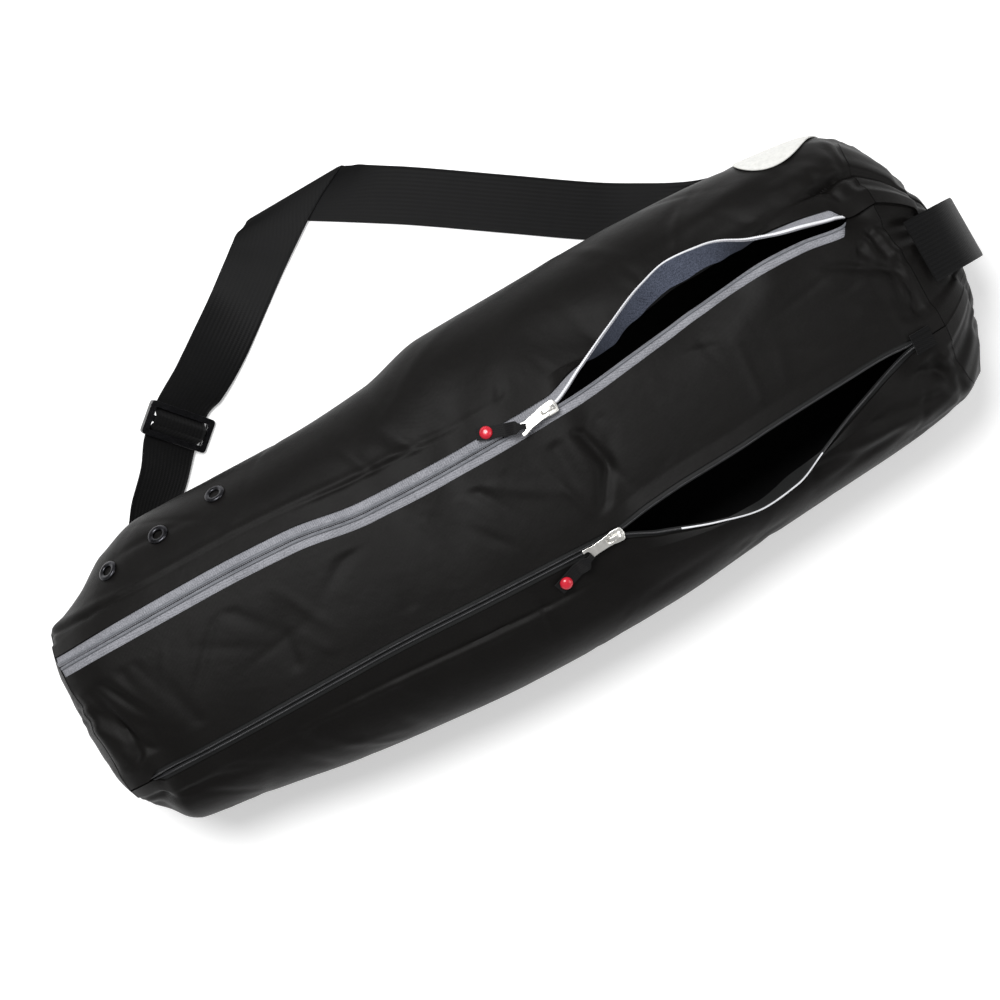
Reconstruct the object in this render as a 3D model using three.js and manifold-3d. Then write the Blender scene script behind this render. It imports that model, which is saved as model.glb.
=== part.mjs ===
// Yoga mat bag, zips half open, lying on its back with its strap spread on the floor beside it.
// Millimetres, +Z up, +X along the bag to the grab handle, +Y to the side where the strap lies.
// The origin is the middle of the flat underside.
import * as THREE from 'three';
import { mergeVertices } from 'three/addons/utils/BufferGeometryUtils.js';
import Module from 'manifold-3d';

const wasm = await Module();
wasm.setup();

// Driving dimensions of the bag's body
const BAG_LENGTH = 723;
const BAG_WIDTH = 262;
const BAG_HEIGHT = 148;
const WIDEST_LEVEL = 0.48;        // share of the height where the section is widest
const FABRIC = 1.6;
const SEAM_GAP = 0.3;
const SEAM_LEVEL = -24;           // degrees below the widest level, where sides meet the back panel
const LEFT_END_BULGE = 9;
const RIGHT_END_BULGE = 20;
const LEFT_TOP_LEAN = 4;          // how far the seam is drawn back at the top of each end
const RIGHT_TOP_LEAN = 26;

// Zips: a tape is sewn under the panel's edge, and its free edge carries the coil
const TAPE_THICKNESS = 1.0;
const TAPE_SEWN = 9;              // width of tape hidden under the panel
const MAIN_TAPE_SHOWN = 8.2;
const POCKET_TAPE_SHOWN = 4.6;
const MAIN_COIL = 2.2;
const POCKET_COIL = 1.6;
const MAIN_ZIP_MARGIN = 77.5;     // from the end of the main tapes to the handle end
const POCKET_ZIP_MARGIN = 73.5;
const POCKET_ZIP_FAR_MARGIN = 39.5;
const MAIN_SLIDER = 0.1272;       // places along the bag, as shares of the half length
const POCKET_SLIDER = 0.1107;
const LIP_FOLD_RADIUS = 2.0;
const MAIN_ZIP_RISE = 2.1;        // how far the closed lips stand above the body's line
const POCKET_ZIP_RISE = 1.5;

// Metal and plastic trim
const SLIDER_LENGTH = 15;
const SLIDER_WIDTH = 10;
const SLIDER_HEIGHT = 5;
const TAB_LENGTH = 24;
const TAB_WIDTH = 8.5;
const TAB_THICKNESS = 1.4;
const RIBBON_WIDTH = 9;
const RIBBON_LENGTH = 34;
const RIBBON_THICKNESS = 1.4;
const BUTTON_DIAMETER = 9.2;
const BUTTON_HEIGHT = 3.2;
const EYELET_DIAMETER = 15.5;
const EYELET_BORE = 7.5;
const EYELET_RIM = 1.5;
const PATCH_DIAMETER = 64;
const PATCH_THICKNESS = 1.2;

// Webbing
const STRAP_WIDTH = 45;
const STRAP_THICKNESS = 1.8;
const BUCKLE_LENGTH = 58;
const BUCKLE_WIDTH = 27;
const BUCKLE_THICKNESS = 3.4;
const BUCKLE_SLOT = 6.4;
const BUCKLE_BAR = 5;
const BUCKLE_CORNER = 3;
const STRAP_PLAY = 2;             // room beside the strap in the buckle's slots
const HANDLE_WIDTH = 48;
const HANDLE_THICKNESS = 2.2;
const HANDLE_STANDOFF = 16;       // gap between the end panel and the handle's bend
const HANDLE_AT = 7;

const TAPE_TRIM = 0.6;            // how far a tape stops short of the end seam, in stations

const HALF_LENGTH = BAG_LENGTH / 2;
const MAIN_ZIP_END = HALF_LENGTH - MAIN_ZIP_MARGIN;
const MAIN_SLIDER_AT = MAIN_SLIDER * HALF_LENGTH;
const POCKET_ZIP_START = POCKET_ZIP_FAR_MARGIN - HALF_LENGTH;
const POCKET_ZIP_END = HALF_LENGTH - POCKET_ZIP_MARGIN;
const POCKET_SLIDER_AT = POCKET_SLIDER * HALF_LENGTH;
const HALF_WIDTH = BAG_WIDTH / 2;
const RADIANS = Math.PI / 180;

// One row for each section along the bag. All values are shares: at of the half length,
// strap and pocket of the half width on each side, top of the height, keel of the height
// (below zero where the fabric is pressed flat by the floor), square is the section's exponent.
const SECTIONS = [
  { at: -1.000, strap: 0.56, pocket: 0.38, top: 0.70, keel: 0.080, square: 2.7 },
  { at: -0.975, strap: 0.61, pocket: 0.50, top: 0.80, keel: 0.040, square: 2.7 },
  { at: -0.930, strap: 0.65, pocket: 0.60, top: 0.89, keel: 0.005, square: 2.6 },
  { at: -0.880, strap: 0.71, pocket: 0.73, top: 0.94, keel: -0.020, square: 2.5 },
  { at: -0.800, strap: 0.84, pocket: 0.76, top: 0.965, keel: -0.030, square: 2.4 },
  { at: -0.700, strap: 0.92, pocket: 0.80, top: 0.98, keel: -0.030, square: 2.4 },
  { at: -0.550, strap: 0.91, pocket: 0.87, top: 0.99, keel: -0.030, square: 2.5 },
  { at: -0.360, strap: 0.90, pocket: 0.93, top: 1.00, keel: -0.030, square: 2.5 },
  { at: -0.180, strap: 0.93, pocket: 0.97, top: 1.00, keel: -0.030, square: 2.5 },
  { at: -0.030, strap: 1.02, pocket: 0.98, top: 1.00, keel: -0.030, square: 2.5 },
  { at: 0.160, strap: 1.03, pocket: 0.97, top: 1.00, keel: -0.030, square: 2.5 },
  { at: 0.370, strap: 1.04, pocket: 0.92, top: 1.00, keel: -0.030, square: 2.5 },
  { at: 0.570, strap: 1.02, pocket: 0.88, top: 0.99, keel: -0.030, square: 2.5 },
  { at: 0.720, strap: 0.98, pocket: 0.85, top: 0.98, keel: -0.030, square: 2.6 },
  { at: 0.830, strap: 0.94, pocket: 0.81, top: 0.96, keel: -0.020, square: 2.7 },
  { at: 0.890, strap: 0.87, pocket: 0.77, top: 0.92, keel: 0.000, square: 2.8 },
  { at: 0.930, strap: 0.79, pocket: 0.72, top: 0.86, keel: 0.030, square: 2.8 },
  { at: 1.000, strap: 0.68, pocket: 0.62, top: 0.74, keel: 0.070, square: 2.8 },
];

// Dents and folds of the cloth, one row each: at is a share of the half length, girth is degrees
// round the section from the strap side over the top, long and wide are shares of the half
// width, turn is degrees from the bag's length, depth is a share of the height, below zero a ridge.
const DENTS = [
  { at: 0.175, girth: 95, long: 0.32, wide: 0.08, turn: 96, depth: 0.020 },
  { at: 0.140, girth: 92, long: 0.26, wide: 0.10, turn: 84, depth: -0.014 },
  { at: -0.240, girth: 66, long: 0.36, wide: 0.13, turn: 62, depth: 0.016 },
  { at: -0.080, girth: 58, long: 0.40, wide: 0.12, turn: 118, depth: 0.022 },
  { at: 0.060, girth: 46, long: 0.42, wide: 0.13, turn: 130, depth: -0.016 },
  { at: 0.300, girth: 48, long: 0.40, wide: 0.12, turn: 24, depth: 0.026 },
  { at: 0.520, girth: 57, long: 0.34, wide: 0.10, turn: 160, depth: 0.030 },
  { at: 0.660, girth: 52, long: 0.34, wide: 0.10, turn: 150, depth: -0.018 },
  { at: -0.560, girth: 100, long: 0.40, wide: 0.16, turn: 150, depth: 0.012 },
  { at: -0.860, girth: 112, long: 0.34, wide: 0.10, turn: 60, depth: 0.026 },
  { at: -0.900, girth: 134, long: 0.26, wide: 0.09, turn: 120, depth: 0.030 },
  { at: 0.860, girth: 62, long: 0.24, wide: 0.08, turn: 40, depth: 0.030 },
  { at: 0.800, girth: 54, long: 0.26, wide: 0.08, turn: 10, depth: 0.024 },
  { at: 0.780, girth: 136, long: 0.34, wide: 0.09, turn: 15, depth: 0.034 },
  { at: 0.600, girth: 142, long: 0.34, wide: 0.09, turn: 170, depth: 0.030 },
  { at: 0.700, girth: 150, long: 0.34, wide: 0.08, turn: 12, depth: -0.022 },
  { at: 0.050, girth: 146, long: 0.44, wide: 0.12, turn: 20, depth: 0.018 },
];

// Main zip, one row for each place along it: at is a share of the half length; line, up and down
// are shares of the half width, for the line the coils meet on and how far each coil stands off
// it where the zip is open; curl is how far each lip is turned over, in degrees.
const MAIN_ZIP = [
  { at: -1.000, line: 0.392, up: 0.000, down: 0.000, curlUp: 0, curlDown: 0 },
  { at: -0.850, line: 0.387, up: 0.000, down: 0.000, curlUp: 0, curlDown: 0 },
  { at: -0.620, line: 0.384, up: 0.000, down: 0.000, curlUp: 0, curlDown: 0 },
  { at: -0.440, line: 0.364, up: 0.000, down: 0.000, curlUp: 0, curlDown: 0 },
  { at: -0.280, line: 0.300, up: 0.000, down: 0.000, curlUp: 0, curlDown: 0 },
  { at: -0.080, line: 0.285, up: 0.000, down: 0.000, curlUp: 0, curlDown: 0 },
  { at: 0.127, line: 0.296, up: 0.000, down: 0.000, curlUp: 0, curlDown: 0 },
  { at: 0.213, line: 0.340, up: 0.060, down: 0.030, curlUp: 62, curlDown: 0 },
  { at: 0.300, line: 0.390, up: 0.125, down: 0.052, curlUp: 112, curlDown: 0 },
  { at: 0.390, line: 0.430, up: 0.192, down: 0.064, curlUp: 140, curlDown: 0 },
  { at: 0.460, line: 0.445, up: 0.223, down: 0.055, curlUp: 146, curlDown: 0 },
  { at: 0.530, line: 0.445, up: 0.200, down: 0.037, curlUp: 132, curlDown: 0 },
  { at: 0.620, line: 0.445, up: 0.095, down: 0.017, curlUp: 78, curlDown: 0 },
  { at: 0.700, line: 0.435, up: 0.043, down: 0.015, curlUp: 22, curlDown: 0 },
  { at: 0.786, line: 0.405, up: 0.020, down: 0.020, curlUp: 0, curlDown: 0 },
  { at: 0.830, line: 0.400, up: 0.000, down: 0.000, curlUp: 0, curlDown: 0 },
  { at: 1.000, line: 0.400, up: 0.000, down: 0.000, curlUp: 0, curlDown: 0 },
];

// Pocket zip, in the same columns
const POCKET_ZIP = [
  { at: -1.000, line: -0.370, up: 0.000, down: 0.000, curlUp: 0, curlDown: 0 },
  { at: -0.890, line: -0.380, up: 0.000, down: 0.000, curlUp: 0, curlDown: 0 },
  { at: -0.660, line: -0.394, up: 0.000, down: 0.000, curlUp: 0, curlDown: 0 },
  { at: -0.400, line: -0.398, up: 0.000, down: 0.000, curlUp: 0, curlDown: 0 },
  { at: -0.140, line: -0.428, up: 0.000, down: 0.000, curlUp: 0, curlDown: 0 },
  { at: 0.110, line: -0.456, up: 0.000, down: 0.000, curlUp: 0, curlDown: 0 },
  { at: 0.196, line: -0.470, up: 0.040, down: 0.080, curlUp: 10, curlDown: 20 },
  { at: 0.300, line: -0.470, up: 0.062, down: 0.185, curlUp: 12, curlDown: 48 },
  { at: 0.400, line: -0.465, up: 0.067, down: 0.247, curlUp: 10, curlDown: 74 },
  { at: 0.470, line: -0.455, up: 0.071, down: 0.235, curlUp: 8, curlDown: 84 },
  { at: 0.540, line: -0.440, up: 0.066, down: 0.172, curlUp: 6, curlDown: 60 },
  { at: 0.640, line: -0.410, up: 0.048, down: 0.090, curlUp: 4, curlDown: 26 },
  { at: 0.740, line: -0.375, up: 0.023, down: 0.030, curlUp: 0, curlDown: 6 },
  { at: 0.800, line: -0.360, up: 0.000, down: 0.000, curlUp: 0, curlDown: 0 },
  { at: 1.000, line: -0.340, up: 0.000, down: 0.000, curlUp: 0, curlDown: 0 },
];

// The strap's middle line over the floor, from the handle end to the fold, from the fold to the
// buckle and from the buckle to the far end. at and out are shares of the half length and half
// width; lift is how high the lower edge hangs, as a share of the height; lean is how far the
// edge away from the bag is raised, in degrees.
const STRAP_IN = [
  { at: -0.0830, out: 2.1603, lift: 0.0000, lean: 0 },
  { at: 0.0113, out: 2.0023, lift: 0.0000, lean: 0 },
  { at: 0.1582, out: 1.7450, lift: 0.0000, lean: 0 },
  { at: 0.2678, out: 1.5344, lift: 0.0000, lean: 0 },
  { at: 0.4426, out: 1.2061, lift: 0.0000, lean: 0 },
  { at: 0.5394, out: 1.0458, lift: 0.0041, lean: 4 },
  { at: 0.6307, out: 0.9160, lift: 0.0162, lean: 12 },
  { at: 0.7248, out: 0.8400, lift: 0.0284, lean: 26 },
];
const STRAP_OUT = [
  { at: -0.5281, out: 1.3855, lift: 0.0284, lean: 40 },
  { at: -0.4398, out: 1.5435, lift: 0.0108, lean: 22 },
  { at: -0.3444, out: 1.7427, lift: 0.0000, lean: 4 },
  { at: -0.3098, out: 1.8168, lift: 0.0000, lean: 0 },
  { at: -0.2490, out: 1.9427, lift: 0.0054, lean: 0 },
  { at: -0.2158, out: 2.0076, lift: 0.0142, lean: 0 },
  { at: -0.1217, out: 2.1832, lift: 0.0142, lean: 0 },
];
const STRAP_PAST_BUCKLE = [
  { at: -0.6846, out: 0.9740, lift: 0.0108, lean: 50 },
  { at: -0.6279, out: 1.1260, lift: 0.0135, lean: 46 },
  { at: -0.5950, out: 1.2252, lift: 0.0284, lean: 40 },
];
const STRAP_FOLD = { at: -0.0976, out: 2.175, turn: 181, lead: 148.5 };
const STRAP_SEATS = { level: -26, handleEnd: [0.832, 0.780], farEnd: [-0.780, -0.825] };
const BUCKLE_PLACE = { at: -0.5615, out: 1.3053, lift: 0.0310, heading: 221, lean: 40 };

// The handle's middle line from its upper seam to its lower one: out is a share of the stand-off
// past the end of the bag, and up is a share of the height.
const HANDLE_LINE = [
  { out: -2.200, up: 0.906 },
  { out: -1.470, up: 0.885 },
  { out: -0.594, up: 0.845 },
  { out: 0.219, up: 0.764 },
  { out: 0.781, up: 0.649 },
  { out: 1.000, up: 0.514 },
  { out: 0.940, up: 0.378 },
  { out: 0.594, up: 0.277 },
  { out: 0.030, up: 0.203 },
  { out: -0.620, up: 0.120 },
];

// Finishes
const finish = (color, roughness, metalness = 0) =>
  new THREE.MeshStandardMaterial({ color, roughness, metalness });
const blackNylon = () => finish(0x232326, 0.62);
const blackWebbing = () => finish(0x1b1b1c, 0.58);
const greyTape = () => finish(0xa5a5ac, 0.7);
const silverCoil = () => finish(0xd8d8dc, 0.45);
const blackTape = () => finish(0x26292a, 0.66);
const silverMetal = () => finish(0xdcd9d0, 0.3, 1);
const redPlastic = () => finish(0xbe1930, 0.35);
const blackPlastic = () => finish(0x111112, 0.35);
const whitePatch = () => finish(0xebebe8, 0.6);

const bag = new THREE.Group();

// A closed mesh from points and triangles, turned so that its faces point out
function addSolid(name, points, triangles, material) {
  let volume = 0;
  for (const [a, b, c] of triangles) {
    volume += points[a].dot(points[b].clone().cross(points[c]));
  }
  const order = volume > 0 ? triangles : triangles.map(([a, b, c]) => [a, c, b]);
  const geometry = new THREE.BufferGeometry();
  const flat = new Float32Array(points.flatMap((p) => [p.x, p.y, p.z]));
  geometry.setAttribute('position', new THREE.BufferAttribute(flat, 3));
  geometry.setIndex(order.flat());
  return addMesh(name, geometry, material);
}

function addMesh(name, geometry, material) {
  const mesh = new THREE.Mesh(geometry, material);
  mesh.name = name;
  bag.add(mesh);
  return mesh;
}

// A bar whose section is one ring of points at each station, closed by a fan at both ends
function addBar(name, rings, material) {
  const size = rings[0].length;
  const triangles = [];
  for (let i = 0; i < rings.length - 1; i += 1) {
    for (let j = 0; j < size; j += 1) {
      const a = i * size + j;
      const b = i * size + ((j + 1) % size);
      triangles.push([a, b, b + size], [a, b + size, a + size]);
    }
  }
  const last = (rings.length - 1) * size;
  for (let j = 1; j < size - 1; j += 1) {
    triangles.push([0, j + 1, j], [last, last + j, last + j + 1]);
  }
  return addSolid(name, rings.flat(), triangles, material);
}

// A wall between an outer and an inner line of points at each station
function addWall(name, stations, material) {
  const width = stations[0].outer.length;
  const points = stations.flatMap((s) => [...s.outer, ...s.inner]);
  const outer = (i, j) => i * 2 * width + j;
  const inner = (i, j) => i * 2 * width + width + j;
  const triangles = [];
  const quad = (a, b, c, d) => triangles.push([a, b, c], [a, c, d]);
  const last = stations.length - 1;
  for (let i = 0; i < last; i += 1) {
    for (let j = 0; j < width - 1; j += 1) {
      quad(outer(i, j), outer(i, j + 1), outer(i + 1, j + 1), outer(i + 1, j));
      quad(inner(i, j), inner(i + 1, j), inner(i + 1, j + 1), inner(i, j + 1));
    }
    quad(outer(i, 0), outer(i + 1, 0), inner(i + 1, 0), inner(i, 0));
    const e = width - 1;
    quad(outer(i, e), inner(i, e), inner(i + 1, e), outer(i + 1, e));
  }
  for (let j = 0; j < width - 1; j += 1) {
    quad(outer(0, j), inner(0, j), inner(0, j + 1), outer(0, j + 1));
    quad(outer(last, j), outer(last, j + 1), inner(last, j + 1), inner(last, j));
  }
  return addSolid(name, points, triangles, material);
}

// A table's column as a smooth curve that never swings past its rows
function column(rows, key, at) {
  const last = rows.length - 1;
  const x = THREE.MathUtils.clamp(at, rows[0].at, rows[last].at);
  let i = 0;
  while (i < last - 1 && x > rows[i + 1].at) i += 1;
  const slope = (k) => (rows[k + 1][key] - rows[k][key]) / (rows[k + 1].at - rows[k].at);
  const tangent = (k) => {
    if (k === 0) return slope(0);
    if (k === last) return slope(last - 1);
    const product = slope(k - 1) * slope(k);
    return product <= 0 ? 0 : (2 * product) / (slope(k - 1) + slope(k));
  };
  const span = rows[i + 1].at - rows[i].at;
  const t = (x - rows[i].at) / span;
  const u = 1 - t;
  return rows[i][key] * u * u * (1 + 2 * t) + tangent(i) * span * t * u * u
    + rows[i + 1][key] * t * t * (3 - 2 * t) - tangent(i + 1) * span * t * t * u;
}

// Where a point lies along the bag: share runs from the left end seam to the right one, and the
// seams are drawn back over the top
function lengthwise(share, angle) {
  const lean = 1 - (1 - Math.max(0, Math.sin(angle))) ** 3;
  const left = -HALF_LENGTH + LEFT_END_BULGE + LEFT_TOP_LEAN * lean;
  const right = HALF_LENGTH - RIGHT_END_BULGE - RIGHT_TOP_LEAN * lean;
  return left + (right - left) * share;
}

function shareOnSide(x) {
  const left = lengthwise(0, 0);
  return (x - left) / (lengthwise(1, 0) - left);
}

function shareAt(x) {
  const left = lengthwise(0, Math.PI / 2);
  return (x - left) / (lengthwise(1, Math.PI / 2) - left);
}

// The smooth body: a rounded section whose lowest part is pressed flat by the floor
function smoothBody(share, angle) {
  const x = lengthwise(share, angle);
  const at = x / HALF_LENGTH;
  const power = column(SECTIONS, 'square', at);
  const top = column(SECTIONS, 'top', at) * BAG_HEIGHT;
  const keel = column(SECTIONS, 'keel', at) * BAG_HEIGHT;
  const middle = top * WIDEST_LEVEL;
  const across = Math.cos(angle);
  const up = Math.sin(angle);
  const wide = column(SECTIONS, across > 0 ? 'strap' : 'pocket', at) * HALF_WIDTH;
  const tall = up > 0 ? top - middle : middle - keel;
  const sum = (Math.abs(across) / wide) ** power + (Math.abs(up) / tall) ** power;
  const radius = sum ** (-1 / power);
  return new THREE.Vector3(x, radius * across, Math.max(0, middle + radius * up));
}

// How deep the dents are at a place on the body
function dentAt(x, angle, radius) {
  let depth = 0;
  for (const dent of DENTS) {
    const along = x - dent.at * HALF_LENGTH;
    const around = (angle - dent.girth * RADIANS) * radius;
    const c = Math.cos(dent.turn * RADIANS);
    const s = Math.sin(dent.turn * RADIANS);
    const u = (along * c + around * s) / (dent.long * HALF_WIDTH);
    const v = (around * c - along * s) / (dent.wide * HALF_WIDTH);
    depth += dent.depth * BAG_HEIGHT * Math.exp(-u * u - v * v);
  }
  return depth;
}

function normalOf(surface, share, angle) {
  const step = 0.004;
  const alongStart = surface(Math.max(0, share - step), angle);
  const alongEnd = surface(Math.min(1, share + step), angle);
  const roundStart = surface(share, angle - step);
  const roundEnd = surface(share, angle + step);
  const along = alongEnd.sub(alongStart);
  const round = roundEnd.sub(roundStart);
  return round.cross(along).normalize();
}

// The body's outer face with its dents
function outerFace(share, angle) {
  const point = smoothBody(share, angle);
  const radius = Math.hypot(point.y, point.z - WIDEST_LEVEL * BAG_HEIGHT);
  const depth = dentAt(point.x, angle, radius);
  if (Math.abs(depth) < 0.01) return point;
  return point.addScaledVector(normalOf(smoothBody, share, angle), -depth);
}

const faceNormal = (share, angle) => normalOf(outerFace, share, angle);

function skin(share, angle, depth) {
  return outerFace(share, angle).addScaledVector(faceNormal(share, angle), -depth);
}

// Both zips, with the places where their tapes begin and end
const ZIPS = {
  main: {
    rows: MAIN_ZIP,
    shown: MAIN_TAPE_SHOWN,
    start: -BAG_LENGTH,
    end: MAIN_ZIP_END,
    rise: MAIN_ZIP_RISE,
  },
  pocket: {
    rows: POCKET_ZIP,
    shown: POCKET_TAPE_SHOWN,
    start: POCKET_ZIP_START,
    end: POCKET_ZIP_END,
    rise: POCKET_ZIP_RISE,
  },
};
const ZIP_CLOSING = 9;            // length over which the panels meet again past a zip's end

const zipLine = (zip, x) => column(zip.rows, 'line', x / HALF_LENGTH) * HALF_WIDTH;

function shownWidth(zip, share) {
  const x = lengthwise(share, Math.PI / 2);
  const past = Math.max(zip.start - x, x - zip.end) / ZIP_CLOSING;
  const open = 1 - THREE.MathUtils.clamp(past, 0, 1);
  return SEAM_GAP + (zip.shown - SEAM_GAP) * open;
}

// A place on a lip's section: run is measured along the panel from where it leaves the body,
// first round the fold and then straight, and depth is measured inwards from its outer face
function lipPoint(lip, run, depth) {
  const arc = LIP_FOLD_RADIUS * lip.curl;
  const turned = Math.min(run, arc) / LIP_FOLD_RADIUS;
  const reach = Math.max(0, run - arc);
  const radius = LIP_FOLD_RADIUS + depth;
  const inward = radius * Math.sin(turned) + reach * Math.cos(turned);
  const outward = LIP_FOLD_RADIUS - radius * Math.cos(turned) + reach * Math.sin(turned);
  return lip.root.clone().addScaledVector(lip.inward, inward)
    .addScaledVector(lip.outward, outward);
}

const TAPE_TOP = FABRIC + SEAM_GAP;
const TAPE_MIDDLE = TAPE_TOP + TAPE_THICKNESS / 2;
const LIP_ROOT = 1.5;             // shortest run of a panel before the tape begins

function lipFrame(zip, side, share, angle) {
  const x = lengthwise(share, angle);
  const at = x / HALF_LENGTH;
  const outward = faceNormal(share, angle);
  outward.x = 0;
  outward.normalize();
  const inward = new THREE.Vector3(0, -side * outward.z, side * outward.y);
  const curl = column(zip.rows, side > 0 ? 'curlUp' : 'curlDown', at) * RADIANS;
  const shown = shownWidth(zip, share);
  const start = Math.max(LIP_FOLD_RADIUS * curl, LIP_ROOT);
  const edge = start + TAPE_SEWN;
  const free = edge + shown;
  return { angle, curl, start, edge, free, inward, outward, root: outerFace(share, angle) };
}

// The lip at a station: its root is moved round the body until its free edge lies where the
// zip's table puts the coil
const lips = new Map();
function lipAt(zip, side, share) {
  const key = `${zip.start} ${side} ${share}`;
  if (lips.has(key)) return lips.get(key);
  let angle = Math.PI / 2;
  let lip;
  for (let turn = 0; turn < 9; turn += 1) {
    lip = lipFrame(zip, side, share, angle);
    const at = lip.root.x / HALF_LENGTH;
    const off = side * column(zip.rows, side > 0 ? 'up' : 'down', at);
    const wanted = (column(zip.rows, 'line', at) + off) * HALF_WIDTH + side * SEAM_GAP;
    const free = lipPoint(lip, lip.free, TAPE_MIDDLE);
    const radius = Math.hypot(lip.root.y, lip.root.z - WIDEST_LEVEL * BAG_HEIGHT);
    const slope = Math.max(0.3, Math.abs(lip.inward.y));
    angle += (free.y - wanted) / (radius * slope);
  }
  lips.set(key, lip);
  return lip;
}

// Stations along the body, closer where it is rounded or open: until is a share of the half
// length, and step is a share of it too. One station lies where each zip begins and ends.
const STATION_STEPS = [
  { until: -0.870, step: 0.030 },
  { until: 0.100, step: 0.098 },
  { until: 0.800, step: 0.054 },
  { until: 1.000, step: 0.032 },
];

function stationShares() {
  const special = [
    POCKET_ZIP_START - ZIP_CLOSING, POCKET_ZIP_START, MAIN_SLIDER_AT, MAIN_ZIP_END,
    MAIN_ZIP_END + ZIP_CLOSING, POCKET_ZIP_END + ZIP_CLOSING,
  ].map(shareAt);
  const shares = [0, 1, ...special];
  let at = lengthwise(0, Math.PI / 2) / HALF_LENGTH;
  for (const row of STATION_STEPS) {
    while (at + row.step < row.until) {
      at += row.step;
      const share = shareAt(at * HALF_LENGTH);
      const room = 0.3 * row.step / 2;
      if (shares.every((other) => Math.abs(other - share) > room)) shares.push(share);
    }
  }
  return shares.filter((share) => share <= 1).sort((first, second) => first - second);
}
const SHARES = stationShares();

// One section of a panel. Parts of the body between two angles alternate with lips.
function bodyLine(share, from, to, steps) {
  const line = { outer: [], inner: [] };
  for (let j = 0; j <= steps; j += 1) {
    const angle = from + (to - from) * (j / steps);
    line.outer.push(outerFace(share, angle));
    line.inner.push(skin(share, angle, FABRIC));
  }
  return line;
}

function lipLine(lip, curled) {
  const runs = curled ? [lip.start / 2, lip.start, lip.edge] : [lip.start, lip.edge];
  return {
    outer: runs.map((run) => lipPoint(lip, run, 0)),
    inner: runs.map((run) => lipPoint(lip, run, FABRIC)),
  };
}

const joined = (...lines) => ({
  outer: lines.flatMap((line) => line.outer),
  inner: lines.flatMap((line) => line.inner),
});
const reversed = (line) => ({
  outer: [...line.outer].reverse(),
  inner: [...line.inner].reverse(),
});

const STRAP_SEAM = SEAM_LEVEL * RADIANS;
const POCKET_SEAM = Math.PI - SEAM_LEVEL * RADIANS;
const seamStep = () => SEAM_GAP / 2 / (0.8 * HALF_WIDTH);

// The four panels' sections, in order round the body from the strap side over the top
const PANELS = {
  strap_side_panel: (share) => {
    const lip = lipAt(ZIPS.main, 1, share);
    return joined(bodyLine(share, STRAP_SEAM + seamStep(), lip.angle, 6), lipLine(lip, true));
  },
  centre_panel: (share) => {
    const first = lipAt(ZIPS.main, -1, share);
    const second = lipAt(ZIPS.pocket, 1, share);
    return joined(reversed(lipLine(first, false)), bodyLine(share, first.angle, second.angle, 4),
      lipLine(second, false));
  },
  pocket_side_panel: (share) => {
    const lip = lipAt(ZIPS.pocket, -1, share);
    return joined(reversed(lipLine(lip, true)),
      bodyLine(share, lip.angle, POCKET_SEAM - seamStep(), 6));
  },
  back_panel: (share) =>
    bodyLine(share, POCKET_SEAM + seamStep(), STRAP_SEAM + 2 * Math.PI - seamStep(), 8),
};

// Booleans: a mesh's geometry as a solid, and a solid as a mesh's geometry
function solidOf(geometry) {
  const bare = geometry.clone();
  bare.deleteAttribute('normal');
  bare.deleteAttribute('uv');
  const merged = mergeVertices(bare, 1e-4);
  return new wasm.Manifold(new wasm.Mesh({
    numProp: 3,
    vertProperties: new Float32Array(merged.attributes.position.array),
    triVerts: new Uint32Array(merged.index.array),
  }));
}

function geometryOf(solid) {
  const { vertProperties, triVerts } = solid.getMesh();
  const geometry = new THREE.BufferGeometry();
  geometry.setAttribute('position', new THREE.BufferAttribute(vertProperties, 3));
  geometry.setIndex(new THREE.BufferAttribute(triVerts, 1));
  return geometry;
}

const welded = (geometry) => geometryOf(solidOf(geometry));

// A turned frame at a place: x and z are given, and y completes the set
function frameAt(origin, xAxis, zAxis) {
  const z = zAxis.clone().normalize();
  const y = z.clone().cross(xAxis).normalize();
  const x = y.clone().cross(z);
  return new THREE.Matrix4().makeBasis(x, y, z).setPosition(origin);
}

// The body's angle at a plan position on its upper side
function angleOver(share, y) {
  let angle = Math.PI / 2;
  for (let turn = 0; turn < 8; turn += 1) {
    const point = outerFace(share, angle);
    const radius = Math.hypot(point.y, point.z - WIDEST_LEVEL * BAG_HEIGHT);
    angle += (point.y - y) / (radius * Math.max(0.35, Math.abs(Math.sin(angle))));
  }
  return angle;
}

// A point above the body's upper side, at plan position x, y
function above(x, y, lift) {
  const share = shareAt(x);
  return skin(share, angleOver(share, y), -lift);
}

// Panels, with holes for the eyelets in the strap side
const EYELETS = [
  { at: -0.786, out: 0.722 },
  { at: -0.664, out: 0.775 },
  { at: -0.531, out: 0.800 },
];
const EYELET_WALL = 0.7;
const CLOTH_GAP = 0.8;            // between the cloth and what lies on it
const BARREL_DEPTH = 3.4;
const eyeletFrames = EYELETS.map(({ at, out }) => {
  const share = shareAt(at * HALF_LENGTH);
  const angle = angleOver(share, out * HALF_WIDTH);
  return frameAt(outerFace(share, angle), new THREE.Vector3(1, 0, 0), faceNormal(share, angle));
});

for (const [name, section] of Object.entries(PANELS)) {
  addWall(name, SHARES.map(section), blackNylon());
}

const pierced = bag.getObjectByName('strap_side_panel');
const holeRadius = EYELET_BORE / 2 + EYELET_WALL + SEAM_GAP;
let piercedSolid = solidOf(pierced.geometry);
for (const frame of eyeletFrames) {
  const hole = new THREE.CylinderGeometry(holeRadius, holeRadius, 6 * FABRIC, 14);
  hole.rotateX(Math.PI / 2).applyMatrix4(frame);
  piercedSolid = piercedSolid.subtract(solidOf(hole));
}
pierced.geometry = geometryOf(piercedSolid);

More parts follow.
